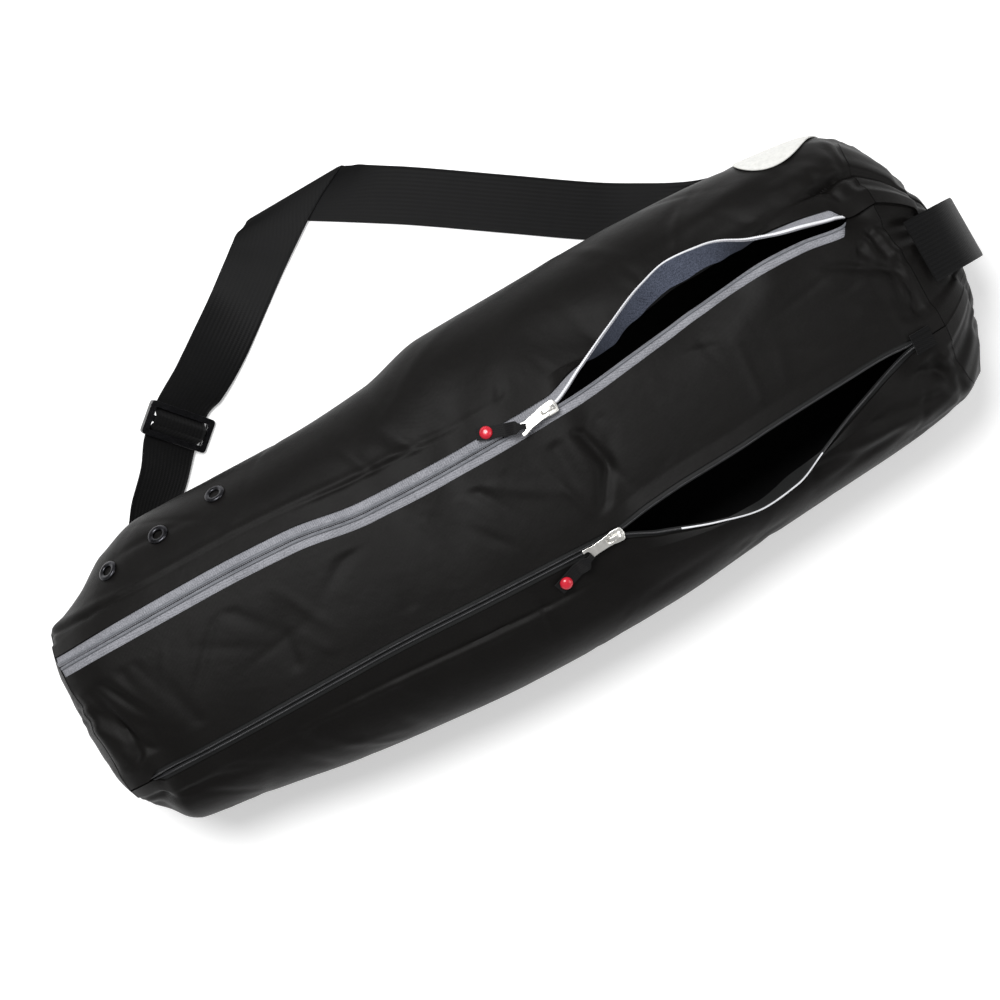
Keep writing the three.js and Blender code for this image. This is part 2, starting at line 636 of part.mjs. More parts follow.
// Each eyelet is one turned ring: a barrel through the cloth and a rim on its outer face
eyeletFrames.forEach((frame, i) => {
  const bore = EYELET_BORE / 2;
  const barrel = bore + EYELET_WALL;
  const rim = EYELET_DIAMETER / 2;
  const seat = SEAM_GAP;
  const profile = [
    [bore, -BARREL_DEPTH], [barrel, -BARREL_DEPTH], [barrel, seat], [rim, seat],
    [rim - 0.5, seat + 0.8 * EYELET_RIM], [(rim + bore) / 2, seat + EYELET_RIM],
    [bore, seat + 0.5 * EYELET_RIM], [bore, -BARREL_DEPTH],
  ].map(([r, z]) => new THREE.Vector2(r, z));
  const ring = welded(new THREE.LatheGeometry(profile, 14).rotateX(Math.PI / 2)).applyMatrix4(frame);
  addMesh(`eyelet_${i + 1}`, ring, finish(0x3a3a3d, 0.25, 1));
});

// A closed skin of loops between a first and a last tip
function addLens(name, loops, first, last, material) {
  const count = loops[0].length;
  const points = [first, ...loops.flat(), last];
  const triangles = [];
  const end = points.length - 1;
  const lastLoop = 1 + (loops.length - 1) * count;
  for (let j = 0; j < count; j += 1) {
    const k = (j + 1) % count;
    triangles.push([0, 1 + k, 1 + j], [end, lastLoop + j, lastLoop + k]);
    for (let i = 0; i < loops.length - 1; i += 1) {
      const a = 1 + i * count;
      triangles.push([a + j, a + k, a + k + count], [a + j, a + k + count, a + j + count]);
    }
  }
  return addSolid(name, points, triangles, material);
}

// End panels: a dome on the ring of the panels' ends, one wall thick
const DOME_RINGS = [1, 0.9, 0.66, 0.34];
const DOME_ROUNDNESS = 2.6;

function addEndPanel(name, share) {
  const side = share > 0.5 ? 1 : -1;
  const apex = side * HALF_LENGTH;
  const ring = Object.values(PANELS).flatMap((section) => section(share).outer);
  const low = Math.min(...ring.map((p) => p.z));
  const high = Math.max(...ring.map((p) => p.z));
  const middle = new THREE.Vector2(0, (low + high) / 2);
  const layer = (size, depth) => ring.map((p) => {
    const from = new THREE.Vector2(p.y, p.z).sub(middle);
    const shrunk = size * (1 - depth / from.length());
    const start = p.x + side * SEAM_GAP;
    const x = apex - (apex - start) * size ** DOME_ROUNDNESS;
    const sunk = depth * (1 - size ** 8);
    return new THREE.Vector3(x - side * sunk, middle.x + from.x * shrunk, middle.y + from.y * shrunk);
  });
  const outer = DOME_RINGS.map((size) => layer(size, 0));
  const inner = DOME_RINGS.map((size) => layer(size, FABRIC));
  const tip = (depth) => new THREE.Vector3(apex - side * depth, middle.x, middle.y);
  return addLens(name, [...outer.reverse(), ...inner], tip(0), tip(FABRIC), blackNylon());
}
addEndPanel('left_end_panel', 0);
addEndPanel('right_end_panel', 1);

// Tapes and coils run along the lips, from one end of their zip to the other
function zipShares(zip) {
  const from = Math.max(0, shareAt(zip.start));
  const to = shareAt(zip.end);
  return SHARES.filter((share) => share >= from - 1e-9 && share <= to + 1e-9);
}

function tapeSection(lip, coil) {
  const runs = [lip.start, lip.edge, lip.free - coil, lip.free];
  const layer = (depth) => runs.map((run) => lipPoint(lip, run, depth));
  return { outer: layer(TAPE_TOP), inner: layer(TAPE_TOP + TAPE_THICKNESS) };
}

function coilSection(lip, coil) {
  const seat = TAPE_TOP - SEAM_GAP;
  const edge = lip.free - SEAM_GAP;
  return [[1, 0], [0, 0], [0, 0.5], [0.5, 0.75], [1, 0.5]].map(([back, up]) =>
    lipPoint(lip, edge - back * coil, seat - up * coil));
}

// Where a zip starts at the end seam its tapes stop a little short of the end panel
function trimmed(lines, zip) {
  if (shareAt(zip.start) > 0) return lines;
  const [first, second, ...rest] = lines;
  return [first.map((point, j) => point.clone().lerp(second[j], TAPE_TRIM)), second, ...rest];
}

function addTapes(label, zip, coil, tapeFinish, coilFinish) {
  for (const [place, side] of [['upper', 1], ['lower', -1]]) {
    const run = zipShares(zip).map((share) => lipAt(zip, side, share));
    const bands = run.map((lip) => tapeSection(lip, coil));
    const outer = trimmed(bands.map((band) => band.outer), zip);
    const inner = trimmed(bands.map((band) => band.inner), zip);
    const tape = outer.map((line, i) => ({ outer: line, inner: inner[i] }));
    const teeth = run.map((lip) => coilSection(lip, coil));
    const turned = (ring) => (side > 0 ? ring : [...ring].reverse());
    addWall(`${label}_zip_${place}_tape`, side > 0 ? tape : tape.map(reversed), tapeFinish());
    addBar(`${label}_zip_${place}_coil`, trimmed(teeth.map(turned), zip), coilFinish());
  }
}
addTapes('main', ZIPS.main, MAIN_COIL, greyTape, silverCoil);
addTapes('pocket', ZIPS.pocket, POCKET_COIL, blackTape, blackTape);

// A slider is a rounded wedge over the coils with a bridge that the pull tab hooks on
function sliderGeometry() {
  const nose = SLIDER_WIDTH * 0.3;
  const outline = new THREE.Shape();
  outline.moveTo(-SLIDER_LENGTH / 2, -nose);
  outline.lineTo(SLIDER_LENGTH * 0.1, -SLIDER_WIDTH / 2);
  outline.absarc(SLIDER_LENGTH * 0.5 - SLIDER_WIDTH * 0.3, 0, SLIDER_WIDTH / 2, -1.2, 1.2);
  outline.lineTo(SLIDER_LENGTH * 0.1, SLIDER_WIDTH / 2);
  outline.lineTo(-SLIDER_LENGTH / 2, nose);
  outline.closePath();
  const plate = new THREE.ExtrudeGeometry(outline, {
    depth: SLIDER_HEIGHT * 0.4, bevelEnabled: false, curveSegments: 6,
  });
  const arch = new THREE.Shape();
  arch.moveTo(-SLIDER_LENGTH * 0.36, SLIDER_HEIGHT * 0.3);
  arch.lineTo(-SLIDER_LENGTH * 0.28, SLIDER_HEIGHT);
  arch.lineTo(SLIDER_LENGTH * 0.26, SLIDER_HEIGHT);
  arch.lineTo(SLIDER_LENGTH * 0.36, SLIDER_HEIGHT * 0.3);
  arch.lineTo(SLIDER_LENGTH * 0.2, SLIDER_HEIGHT * 0.3);
  arch.lineTo(SLIDER_LENGTH * 0.14, SLIDER_HEIGHT * 0.76);
  arch.lineTo(-SLIDER_LENGTH * 0.18, SLIDER_HEIGHT * 0.76);
  arch.lineTo(-SLIDER_LENGTH * 0.22, SLIDER_HEIGHT * 0.3);
  arch.closePath();
  const bridge = new THREE.ExtrudeGeometry(arch, {
    depth: SLIDER_WIDTH * 0.3, bevelEnabled: false,
  });
  bridge.rotateX(Math.PI / 2).translate(0, SLIDER_WIDTH * 0.15, 0);
  return geometryOf(solidOf(plate).add(solidOf(bridge)));
}

// The tab is a plate whose eye goes round one leg of the bridge, with a fork behind
const TAB_EYE = 4.6;
const TAB_BAR = 1.2;
const TAB_FORK = 4.6;             // depth of the fork in which the ribbon lies
const BRIDGE_LEG = -0.27;         // middle of that leg, as a share of the slider's length
function tabGeometry() {
  const half = TAB_WIDTH / 2;
  const front = TAB_EYE / 2 + TAB_BAR;
  const outline = new THREE.Shape();
  outline.moveTo(front, -half);
  outline.lineTo(front, half);
  outline.lineTo(front - TAB_LENGTH, half);
  outline.lineTo(front - TAB_LENGTH, half * 0.46);
  outline.lineTo(front - TAB_LENGTH + TAB_FORK * 0.7, half * 0.46);
  outline.lineTo(front - TAB_LENGTH + TAB_FORK, 0);
  outline.lineTo(front - TAB_LENGTH + TAB_FORK * 0.7, -half * 0.46);
  outline.lineTo(front - TAB_LENGTH, -half * 0.46);
  outline.lineTo(front - TAB_LENGTH, -half);
  outline.closePath();
  const eye = new THREE.Path();
  eye.moveTo(-TAB_EYE / 2, -TAB_EYE / 2);
  eye.lineTo(-TAB_EYE / 2, TAB_EYE / 2);
  eye.lineTo(TAB_EYE / 2, TAB_EYE / 2);
  eye.lineTo(TAB_EYE / 2, -TAB_EYE / 2);
  eye.closePath();
  outline.holes.push(eye);
  return welded(new THREE.ExtrudeGeometry(outline, {
    depth: TAB_THICKNESS, bevelEnabled: false,
  }));
}

// A place over a zip, where the closed lips stand a little above the body's line
const RISE_WIDTH = 15;
function overZip(zip, x, y, lift) {
  const off = (y - zipLine(zip, x)) / RISE_WIDTH;
  return above(x, y, lift + zip.rise * Math.exp(-off * off));
}

// A ribbon leaves the top of its tab and comes down onto the cloth; its stations run across it
function ribbonStations(zip, start, lift, turn, length) {
  const ahead = new THREE.Vector2(Math.cos(turn), Math.sin(turn));
  const aside = new THREE.Vector2(-ahead.y, ahead.x).multiplyScalar(RIBBON_WIDTH / 2);
  const steps = 8;
  const stations = [];
  for (let i = 0; i <= steps; i += 1) {
    const run = length * (i / steps);
    const settled = THREE.MathUtils.smoothstep(run, RIBBON_LAP + 2, RIBBON_LAP + 11);
    const low = THREE.MathUtils.lerp(lift, CLOTH_GAP, settled);
    const place = ahead.clone().multiplyScalar(run).add(start);
    const edge = (sign, up) =>
      overZip(zip, place.x + sign * aside.x, place.y + sign * aside.y, low + up);
    const across = (up) => [edge(1, up), edge(-1, up)];
    stations.push({ outer: across(RIBBON_THICKNESS), inner: across(0) });
  }
  return stations;
}

// A domed button with a flat back
function buttonGeometry() {
  const radius = BUTTON_DIAMETER / 2;
  const profile = [[0, 0], [radius, 0], [radius, 0.3], [0.72, 0.8], [0, 1]].map(([r, z], i) =>
    new THREE.Vector2(i === 3 ? r * radius : r, z * BUTTON_HEIGHT));
  return welded(new THREE.LatheGeometry(profile, 12).rotateX(Math.PI / 2));
}

const RIBBON_LAP = 5;             // length of ribbon that lies on its tab
const TAB_SEAT = 0.44;            // height of the tab's lower face, as a share of the slider's
const PULLS = {
  main: { zip: ZIPS.main, x: MAIN_SLIDER_AT - 3, tabTurn: -169, ribbonTurn: 159.5 },
  pocket: { zip: ZIPS.pocket, x: POCKET_SLIDER_AT, tabTurn: -175, ribbonTurn: -160.6 },
};

for (const [label, { zip, x, tabTurn, ribbonTurn }] of Object.entries(PULLS)) {
  const behind = x - SLIDER_LENGTH;
  const seat = overZip(zip, x, zipLine(zip, x), CLOTH_GAP + SEAM_GAP);
  const ahead = seat.clone().sub(overZip(zip, behind, zipLine(zip, behind), CLOTH_GAP));
  const normal = faceNormal(shareAt(behind), angleOver(shareAt(behind), zipLine(zip, behind)));
  const frame = frameAt(seat, ahead, normal);
  addMesh(`${label}_slider`, sliderGeometry().applyMatrix4(frame), silverMetal());

  const heading = Math.atan2(frame.elements[1], frame.elements[0]);
  const yaw = tabTurn * RADIANS - heading - Math.PI;
  const hinge = new THREE.Matrix4().makeRotationZ(yaw)
    .setPosition(BRIDGE_LEG * SLIDER_LENGTH, 0, TAB_SEAT * SLIDER_HEIGHT).premultiply(frame);
  addMesh(`${label}_pull_tab`, tabGeometry().applyMatrix4(hinge), silverMetal());

  const lap = TAB_EYE / 2 + TAB_BAR - TAB_LENGTH + RIBBON_LAP;
  const from = new THREE.Vector3(lap, 0, TAB_THICKNESS + CLOTH_GAP).applyMatrix4(hinge);
  const lift = from.z - overZip(zip, from.x, from.y, 0).z;
  const start = new THREE.Vector2(from.x, from.y);
  const turn = ribbonTurn * RADIANS;
  const stations = ribbonStations(zip, start, lift, turn, RIBBON_LENGTH);
  addWall(`${label}_pull_ribbon`, stations, blackWebbing());

  const at = new THREE.Vector2(Math.cos(turn), Math.sin(turn))
    .multiplyScalar(RIBBON_LENGTH - BUTTON_DIAMETER * 0.75).add(start);
  const top = overZip(zip, at.x, at.y, 2 * CLOTH_GAP + RIBBON_THICKNESS);
  const out = faceNormal(shareAt(at.x), angleOver(shareAt(at.x), at.y));
  const button = buttonGeometry().applyMatrix4(frameAt(top, new THREE.Vector3(1, 0, 0), out));
  addMesh(`${label}_pull_button`, button, redPlastic());
}

// A small tab of webbing sewn over the handle end of the pocket zip
const END_TAB = { x: POCKET_ZIP_END + 7.5, length: 15, width: 14, thickness: 1.2 };
{
  const middle = zipLine(ZIPS.pocket, END_TAB.x);
  const stations = [0, 0.5, 1].map((along) => {
    const x = END_TAB.x + (along - 0.5) * END_TAB.length;
    const line = (lift) => [0, 0.25, 0.5, 0.75, 1].map((step) =>
      overZip(ZIPS.pocket, x, middle + (step - 0.5) * END_TAB.width, lift));
    return { outer: line(SEAM_GAP + END_TAB.thickness), inner: line(SEAM_GAP) };
  });
  addWall('pocket_zip_end_tab', stations, blackWebbing());
}

// The round patch follows the strap side near the handle end
const PATCH_PLACE = { at: 0.805, level: 7.0 };
{
  const places = (size) => Array.from({ length: 20 }, (_, j) => {
    const turn = (j / 20) * 2 * Math.PI;
    const run = size * PATCH_DIAMETER / 2;
    return {
      share: shareOnSide(PATCH_PLACE.at * HALF_LENGTH + run * Math.cos(turn)),
      angle: PATCH_PLACE.level * RADIANS + run * Math.sin(turn) / (0.85 * HALF_WIDTH),
    };
  });
  const point = (place, lift) => skin(place.share, place.angle, -lift);
  const loop = (size, lift) => places(size).map((place) => point(place, lift));
  const middle = places(0)[0];
  const top = CLOTH_GAP + PATCH_THICKNESS;
  const loops = [loop(0.45, top), loop(0.8, top), loop(1, top),
    loop(1, CLOTH_GAP), loop(0.8, CLOTH_GAP), loop(0.45, CLOTH_GAP)];
  addLens('round_patch', loops, point(middle, top), point(middle, CLOTH_GAP), whitePatch());
}

// Webbing is a run of rungs: a middle point and a half width. Its faces lie half its thickness
// to either side of the rungs.
function webbingStations(rungs, thickness) {
  return rungs.map(({ centre, half }, i) => {
    const before = rungs[Math.max(0, i - 1)].centre;
    const after = rungs[Math.min(rungs.length - 1, i + 1)].centre;
    const normal = half.clone().cross(after.clone().sub(before)).normalize();
    const corner = (sign, up) => centre.clone().addScaledVector(half, sign)
      .addScaledVector(normal, up * thickness / 2);
    const face = (up) => [corner(-1, up), corner(1, up)];
    return { outer: face(1), inner: face(-1) };
  });
}

const halfStrap = STRAP_WIDTH / 2;
const flat = (turn) => new THREE.Vector3(Math.cos(turn * RADIANS), Math.sin(turn * RADIANS), 0);

// Rungs along one table of the strap. outer is 1 where a rung's first end is the edge away from
// the bag, and slant turns the rungs towards the fold line.
function routeRungs(rows, xs, outer, slant) {
  const y = (x) => column(rows, 'out', x / HALF_LENGTH) * HALF_WIDTH;
  return xs.map((x) => {
    const at = x / HALF_LENGTH;
    const lean = column(rows, 'lean', at) * RADIANS;
    const step = 0.5;
    const ahead = Math.atan2(y(x - step) - y(x + step), -2 * step) / RADIANS;
    const skew = slant(x);
    const away = flat(ahead - 90 - outer * skew);
    const half = away.multiplyScalar(Math.cos(lean)).setZ(Math.sin(lean))
      .multiplyScalar(outer * halfStrap / Math.cos(skew * RADIANS));
    const low = STRAP_THICKNESS / 2 + column(rows, 'lift', at) * BAG_HEIGHT;
    const centre = new THREE.Vector3(x, y(x), low + Math.sin(lean) * halfStrap);
    return { centre, half };
  });
}

// The strap's sewn ends lie against the low side wall
function seatRungs(ats, outer) {
  const angle = STRAP_SEATS.level * RADIANS;
  return ats.map((at) => {
    const share = shareOnSide(at * HALF_LENGTH);
    const centre = skin(share, angle, -(CLOTH_GAP + STRAP_THICKNESS / 2));
    const along = outerFace(share, angle + 0.02).sub(outerFace(share, angle - 0.02));
    along.x = 0;
    return { centre, half: along.normalize().multiplyScalar(outer * halfStrap) };
  });
}

// At the fold the rungs lie along the fold line and go round a half circle
const foldSkew = STRAP_FOLD.turn - 90 - (STRAP_FOLD.lead - 90) - 90;
const foldHalf = halfStrap / Math.cos(foldSkew * RADIANS);
const foldRadius = (STRAP_THICKNESS + SEAM_GAP) / 2;
const foldRungs = [0, 45, 90, 135, 180].map((turn) => {
  const line = flat(STRAP_FOLD.turn);
  const out = flat(STRAP_FOLD.turn - 90);
  const slip = foldRadius * turn * RADIANS * Math.tan(-foldSkew * RADIANS);
  const centre = new THREE.Vector3(STRAP_FOLD.at * HALF_LENGTH, STRAP_FOLD.out * HALF_WIDTH,
    STRAP_THICKNESS / 2 + foldRadius)
    .addScaledVector(out, foldRadius * Math.sin(turn * RADIANS))
    .addScaledVector(line, slip);
  centre.z -= foldRadius * Math.cos(turn * RADIANS);
  return { centre, half: line.multiplyScalar(-foldHalf) };
});
const foldStart = foldRungs[0].centre.x;
const foldEnd = foldRungs[4].centre.x;
const SLANT_RUN = 72;             // length along X over which the rungs turn to the fold line
const slantIn = (x) =>
  -foldSkew * (1 - THREE.MathUtils.smoothstep(x, foldStart, foldStart + SLANT_RUN));
const slantOut = (x) => -foldSkew * THREE.MathUtils.smoothstep(x, foldEnd - SLANT_RUN, foldEnd);
const slantNone = () => 0;

// The buckle's frame: x along the strap, y along its bars, z out of its face
const buckleLean = BUCKLE_PLACE.lean * RADIANS;
const buckleAway = flat(BUCKLE_PLACE.heading - 90).multiplyScalar(Math.cos(buckleLean))
  .setZ(Math.sin(buckleLean));
const buckleHeading = flat(BUCKLE_PLACE.heading);
const buckleNormal = buckleAway.clone().cross(buckleHeading).normalize();
const buckleCentre = new THREE.Vector3(
  BUCKLE_PLACE.at * HALF_LENGTH,
  BUCKLE_PLACE.out * HALF_WIDTH,
  STRAP_THICKNESS / 2 + BUCKLE_PLACE.lift * BAG_HEIGHT + Math.sin(buckleLean) * halfStrap,
);
const barEdge = BUCKLE_BAR / 2;
const overBar = (BUCKLE_THICKNESS + STRAP_THICKNESS) / 2 + SEAM_GAP;
const threaded = [
  [-BUCKLE_WIDTH / 2 - 2.5, -1], [-barEdge - BUCKLE_SLOT + 0.7, -1], [-barEdge - 0.7, 1], [0, 1],
  [barEdge + 0.7, 1], [barEdge + BUCKLE_SLOT - 0.7, -1], [BUCKLE_WIDTH / 2 + 2.5, -1],
].map(([along, side]) => ({
  centre: buckleCentre.clone().addScaledVector(buckleHeading, along)
    .addScaledVector(buckleNormal, side * overBar),
  half: buckleAway.clone().multiplyScalar(-halfStrap),
}));

const strapRungs = [
  ...seatRungs(STRAP_SEATS.handleEnd, 1),
  ...routeRungs(STRAP_IN, [
    ...[0.725, 0.678, 0.631, 0.584, 0.539, 0.443, 0.277].map((at) => at * HALF_LENGTH),
    ...[1, 0.75, 0.5, 0.25].map((step) => foldStart + step * SLANT_RUN),
  ], 1, slantIn),
  ...foldRungs,
  ...routeRungs(STRAP_OUT, [
    ...[0.25, 0.5, 0.75, 1].map((step) => foldEnd - step * SLANT_RUN),
    ...[-0.393, -0.443, -0.487].map((at) => at * HALF_LENGTH),
  ], -1, slantOut),
  ...threaded,
  ...routeRungs(STRAP_PAST_BUCKLE, [-0.636, -0.683].map((at) => at * HALF_LENGTH), -1, slantNone),
  ...seatRungs(STRAP_SEATS.farEnd, -1),
];
addWall('shoulder_strap', webbingStations(strapRungs, STRAP_THICKNESS), blackWebbing());

// Three bars and two slots in one moulded plate with cut corners
{
  const x = BUCKLE_WIDTH / 2;
  const y = BUCKLE_LENGTH / 2;
  const cut = BUCKLE_CORNER;
  const outline = new THREE.Shape([
    [x, -y + cut], [x, y - cut], [x - cut, y], [-x + cut, y],
    [-x, y - cut], [-x, -y + cut], [-x + cut, -y], [x - cut, -y],
  ].map(([a, b]) => new THREE.Vector2(a, b)));
  const plate = new THREE.ExtrudeGeometry(outline, {
    depth: BUCKLE_THICKNESS, bevelEnabled: false,
  });
  let moulded = solidOf(plate.translate(0, 0, -BUCKLE_THICKNESS / 2));
  for (const side of [-1, 1]) {
    const slot = new THREE.BoxGeometry(BUCKLE_SLOT, STRAP_WIDTH + STRAP_PLAY, 2 * BUCKLE_THICKNESS);
    slot.translate(side * (barEdge + BUCKLE_SLOT / 2), 0, 0);
    moulded = moulded.subtract(solidOf(slot));
  }
  const place = frameAt(buckleCentre, buckleHeading, buckleNormal);
  addMesh('strap_buckle', geometryOf(moulded).applyMatrix4(place), blackPlastic());
}

// The grab handle bows out from the end panel
{
  const curve = new THREE.CatmullRomCurve3(HANDLE_LINE.map(({ out, up }) => new THREE.Vector3(
    HALF_LENGTH + HANDLE_STANDOFF * out, HANDLE_AT, BAG_HEIGHT * up)));
  const half = new THREE.Vector3(0, HANDLE_WIDTH / 2, 0);
  const rungs = curve.getPoints(18).map((centre) => ({ centre, half }));
  addWall('grab_handle', webbingStations(rungs, HANDLE_THICKNESS), blackWebbing());
}

export default bag;
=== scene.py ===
# %% [markdown]
# # A yoga mat bag, lying open on the floor
# The bag is a tube of black nylon with two zips along its top. Its solids come packed as a
# frame, and every piece here lies in that same frame: metres, +Z up, +X towards the grab
# handle. Shapes could be sculpted by hand, but a bag is sewn from flat panels round a known
# section, so each surface is worked out from tables of sections, folds and zip lines.

# %% Load the frame
import math

import bmesh
import bpy
import numpy as np
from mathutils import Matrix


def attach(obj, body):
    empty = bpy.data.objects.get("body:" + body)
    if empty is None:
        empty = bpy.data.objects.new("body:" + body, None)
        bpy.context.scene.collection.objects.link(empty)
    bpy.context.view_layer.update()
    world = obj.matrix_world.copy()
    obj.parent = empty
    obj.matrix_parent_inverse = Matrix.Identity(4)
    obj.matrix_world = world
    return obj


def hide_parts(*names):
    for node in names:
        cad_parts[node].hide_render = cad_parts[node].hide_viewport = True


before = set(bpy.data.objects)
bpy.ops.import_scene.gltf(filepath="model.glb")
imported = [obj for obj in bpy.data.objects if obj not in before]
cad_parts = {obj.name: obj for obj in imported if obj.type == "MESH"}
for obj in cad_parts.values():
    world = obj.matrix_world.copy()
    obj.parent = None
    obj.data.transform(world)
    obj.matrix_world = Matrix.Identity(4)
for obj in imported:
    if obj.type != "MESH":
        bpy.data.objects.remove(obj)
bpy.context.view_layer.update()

# %% [markdown]
# ## Sizes and tables
# Sizes are in millimetres, as on a pattern sheet, and a mesh turns them into metres at the end.
# A table has named columns and one row for each section, fold or zip place. Lengths in the
# tables are shares of the half length (at), the half width or the height, so that the whole
# bag could be made longer or fuller by one number.

# %% Sizes of the bag
BAG_LENGTH, BAG_WIDTH, BAG_HEIGHT = 723.0, 262.0, 148.0
HALF_LENGTH, HALF_WIDTH = BAG_LENGTH / 2, BAG_WIDTH / 2
WIDEST_LEVEL = 0.48
FABRIC, SEAM_GAP = 1.6, 0.3
LEFT_END_BULGE, RIGHT_END_BULGE = 9.0, 20.0
LEFT_TOP_LEAN, RIGHT_TOP_LEAN = 4.0, 26.0
LIP_FOLD_RADIUS, LIP_ROOT, TAPE_SEWN = 2.0, 1.5, 9.0
TAPE_THICKNESS = 1.0
TAPE_TOP = FABRIC + SEAM_GAP
TAPE_MIDDLE = TAPE_TOP + TAPE_THICKNESS / 2
ZIP_CLOSING, CLOSED_GAP = 9.0, 0.06
SIDE_SEAM = math.radians(-24)


def table(columns, text):
    """A dictionary of arrays: one row for each line of the text, one array for each name."""
    rows = np.array([[float(word) for word in line.split()] for line in text.strip().splitlines()])
    return {name: rows[:, k] for k, name in enumerate(columns.split())}


# %% Sections of the body, and the lines of both zips
SECTIONS = table("at strap pocket top keel square", """
-1.000 0.56 0.38 0.70  0.080 2.7
-0.975 0.61 0.50 0.80  0.040 2.7
-0.930 0.65 0.60 0.89  0.005 2.6
-0.880 0.71 0.73 0.94 -0.020 2.5
-0.800 0.84 0.76 0.965 -0.030 2.4
-0.700 0.92 0.80 0.98 -0.030 2.4
-0.550 0.91 0.87 0.99 -0.030 2.5
-0.360 0.90 0.93 1.00 -0.030 2.5
-0.180 0.93 0.97 1.00 -0.030 2.5
-0.030 1.02 0.98 1.00 -0.030 2.5
 0.160 1.03 0.97 1.00 -0.030 2.5
 0.370 1.04 0.92 1.00 -0.030 2.5
 0.570 1.02 0.88 0.99 -0.030 2.5
 0.720 0.98 0.85 0.98 -0.030 2.6
 0.830 0.94 0.81 0.96 -0.020 2.7
 0.890 0.87 0.77 0.92  0.000 2.8
 0.930 0.79 0.72 0.86  0.030 2.8
 1.000 0.68 0.62 0.74  0.070 2.8
""")
MAIN_ROWS = table("at line up down curl_up curl_down", """
-1.000 0.392 0     0       0 0
-0.850 0.387 0     0       0 0
-0.620 0.384 0     0       0 0
-0.440 0.364 0     0       0 0
-0.280 0.300 0     0       0 0
-0.080 0.285 0     0       0 0
 0.127 0.296 0     0       0 0
 0.213 0.340 0.060 0.030  62 0
 0.300 0.390 0.125 0.052 112 0
 0.390 0.430 0.192 0.064 140 0
 0.460 0.445 0.223 0.055 146 0
 0.530 0.445 0.200 0.037 132 0
 0.620 0.445 0.095 0.017  78 0
 0.700 0.435 0.043 0.015  22 0
 0.786 0.405 0.020 0.020   0 0
 0.830 0.400 0     0       0 0
 1.000 0.400 0     0       0 0
""")
POCKET_ROWS = table("at line up down curl_up curl_down", """
-1.000 -0.370 0     0      0  0
-0.890 -0.380 0     0      0  0
-0.660 -0.394 0     0      0  0
-0.400 -0.398 0     0      0  0
-0.140 -0.428 0     0      0  0
 0.110 -0.456 0     0      0  0
 0.196 -0.470 0.040 0.080 10 20
 0.300 -0.470 0.062 0.185 12 48
 0.400 -0.465 0.067 0.247 10 74
 0.470 -0.455 0.071 0.235  8 84
 0.540 -0.440 0.066 0.172  6 60
 0.640 -0.410 0.048 0.090  4 26
 0.740 -0.375 0.023 0.030  0  6
 0.800 -0.360 0     0      0  0
 1.000 -0.340 0     0      0  0
""")
ZIPS = {
    "main": dict(rows=MAIN_ROWS, shown=8.2, start=-BAG_LENGTH, end=284.0, coil=2.2, rise=2.1),
    "pocket": dict(rows=POCKET_ROWS, shown=4.6, start=-322.0, end=288.0, coil=1.6, rise=1.5),
}
print("sections", len(SECTIONS["at"]), "zip rows", len(MAIN_ROWS["at"]), len(POCKET_ROWS["at"]))

# %% Folds of the cloth: at, degrees round the section, size along and across, turn, depth
FOLDS = table("at girth long wide turn depth", """
 0.175  95 0.32 0.08  96  0.020
 0.140  92 0.26 0.10  84 -0.014
-0.240  66 0.36 0.13  62  0.016
-0.080  58 0.40 0.12 118  0.022
 0.060  46 0.42 0.13 130 -0.016
 0.300  48 0.40 0.12  24  0.026
 0.520  57 0.34 0.10 160  0.030
 0.660  52 0.34 0.10 150 -0.018
-0.560 100 0.40 0.16 150  0.012
-0.860 112 0.34 0.10  60  0.026
-0.900 134 0.26 0.09 120  0.030
 0.860  62 0.24 0.08  40  0.030
 0.800  54 0.26 0.08  10  0.024
 0.780 136 0.34 0.09  15  0.034
 0.600 142 0.34 0.09 170  0.030
 0.700 150 0.34 0.08  12 -0.022
 0.050 146 0.44 0.12  20  0.018
""")

# %% [markdown]
# ## The body as a function
# On the real bag the nylon is drawn tight and full, so a section across it is a rounded
# oblong, pressed flat underneath. Here a point of the body is a function of two numbers: the
# share of the way along, and the angle round the section. A smooth curve through each column
# of the table fills in between its rows.

# %% Curves through the tables
def column(rows, key, at):
    """The column as a cubic curve through its rows, with harmonic slopes so it never overshoots."""
    xs, ys = rows["at"], rows[key]
    slopes = np.diff(ys) / np.diff(xs)
    product = slopes[:-1] * slopes[1:]
    total = slopes[:-1] + slopes[1:]
    inner = np.where(product > 0, 2 * product / np.where(total == 0, 1, total), 0)
    tangents = np.concatenate([slopes[:1], inner, slopes[-1:]])
    x = np.clip(at, xs[0], xs[-1])
    i = np.clip(np.searchsorted(xs, x, side="left") - 1, 0, len(xs) - 2)
    span = xs[i + 1] - xs[i]
    t = (x - xs[i]) / span
    u = 1 - t
    return (ys[i] * u * u * (1 + 2 * t) + tangents[i] * span * t * u * u
            + ys[i + 1] * t * t * (3 - 2 * t) - tangents[i + 1] * span * t * t * u)


def lengthwise(share, angle):
    """Distance along the bag: from one end seam to the other, the seams drawn back over the top."""
    lean = 1 - (1 - np.maximum(0, np.sin(angle))) ** 3
    left = -HALF_LENGTH + LEFT_END_BULGE + LEFT_TOP_LEAN * lean
    right = HALF_LENGTH - RIGHT_END_BULGE - RIGHT_TOP_LEAN * lean
    return left + (right - left) * share


def share_at(x, angle=math.pi / 2):
    left = lengthwise(0.0, angle)
    return (x - left) / (lengthwise(1.0, angle) - left)


def unit(vectors):
    return vectors / np.maximum(np.linalg.norm(vectors, axis=-1, keepdims=True), 1e-9)


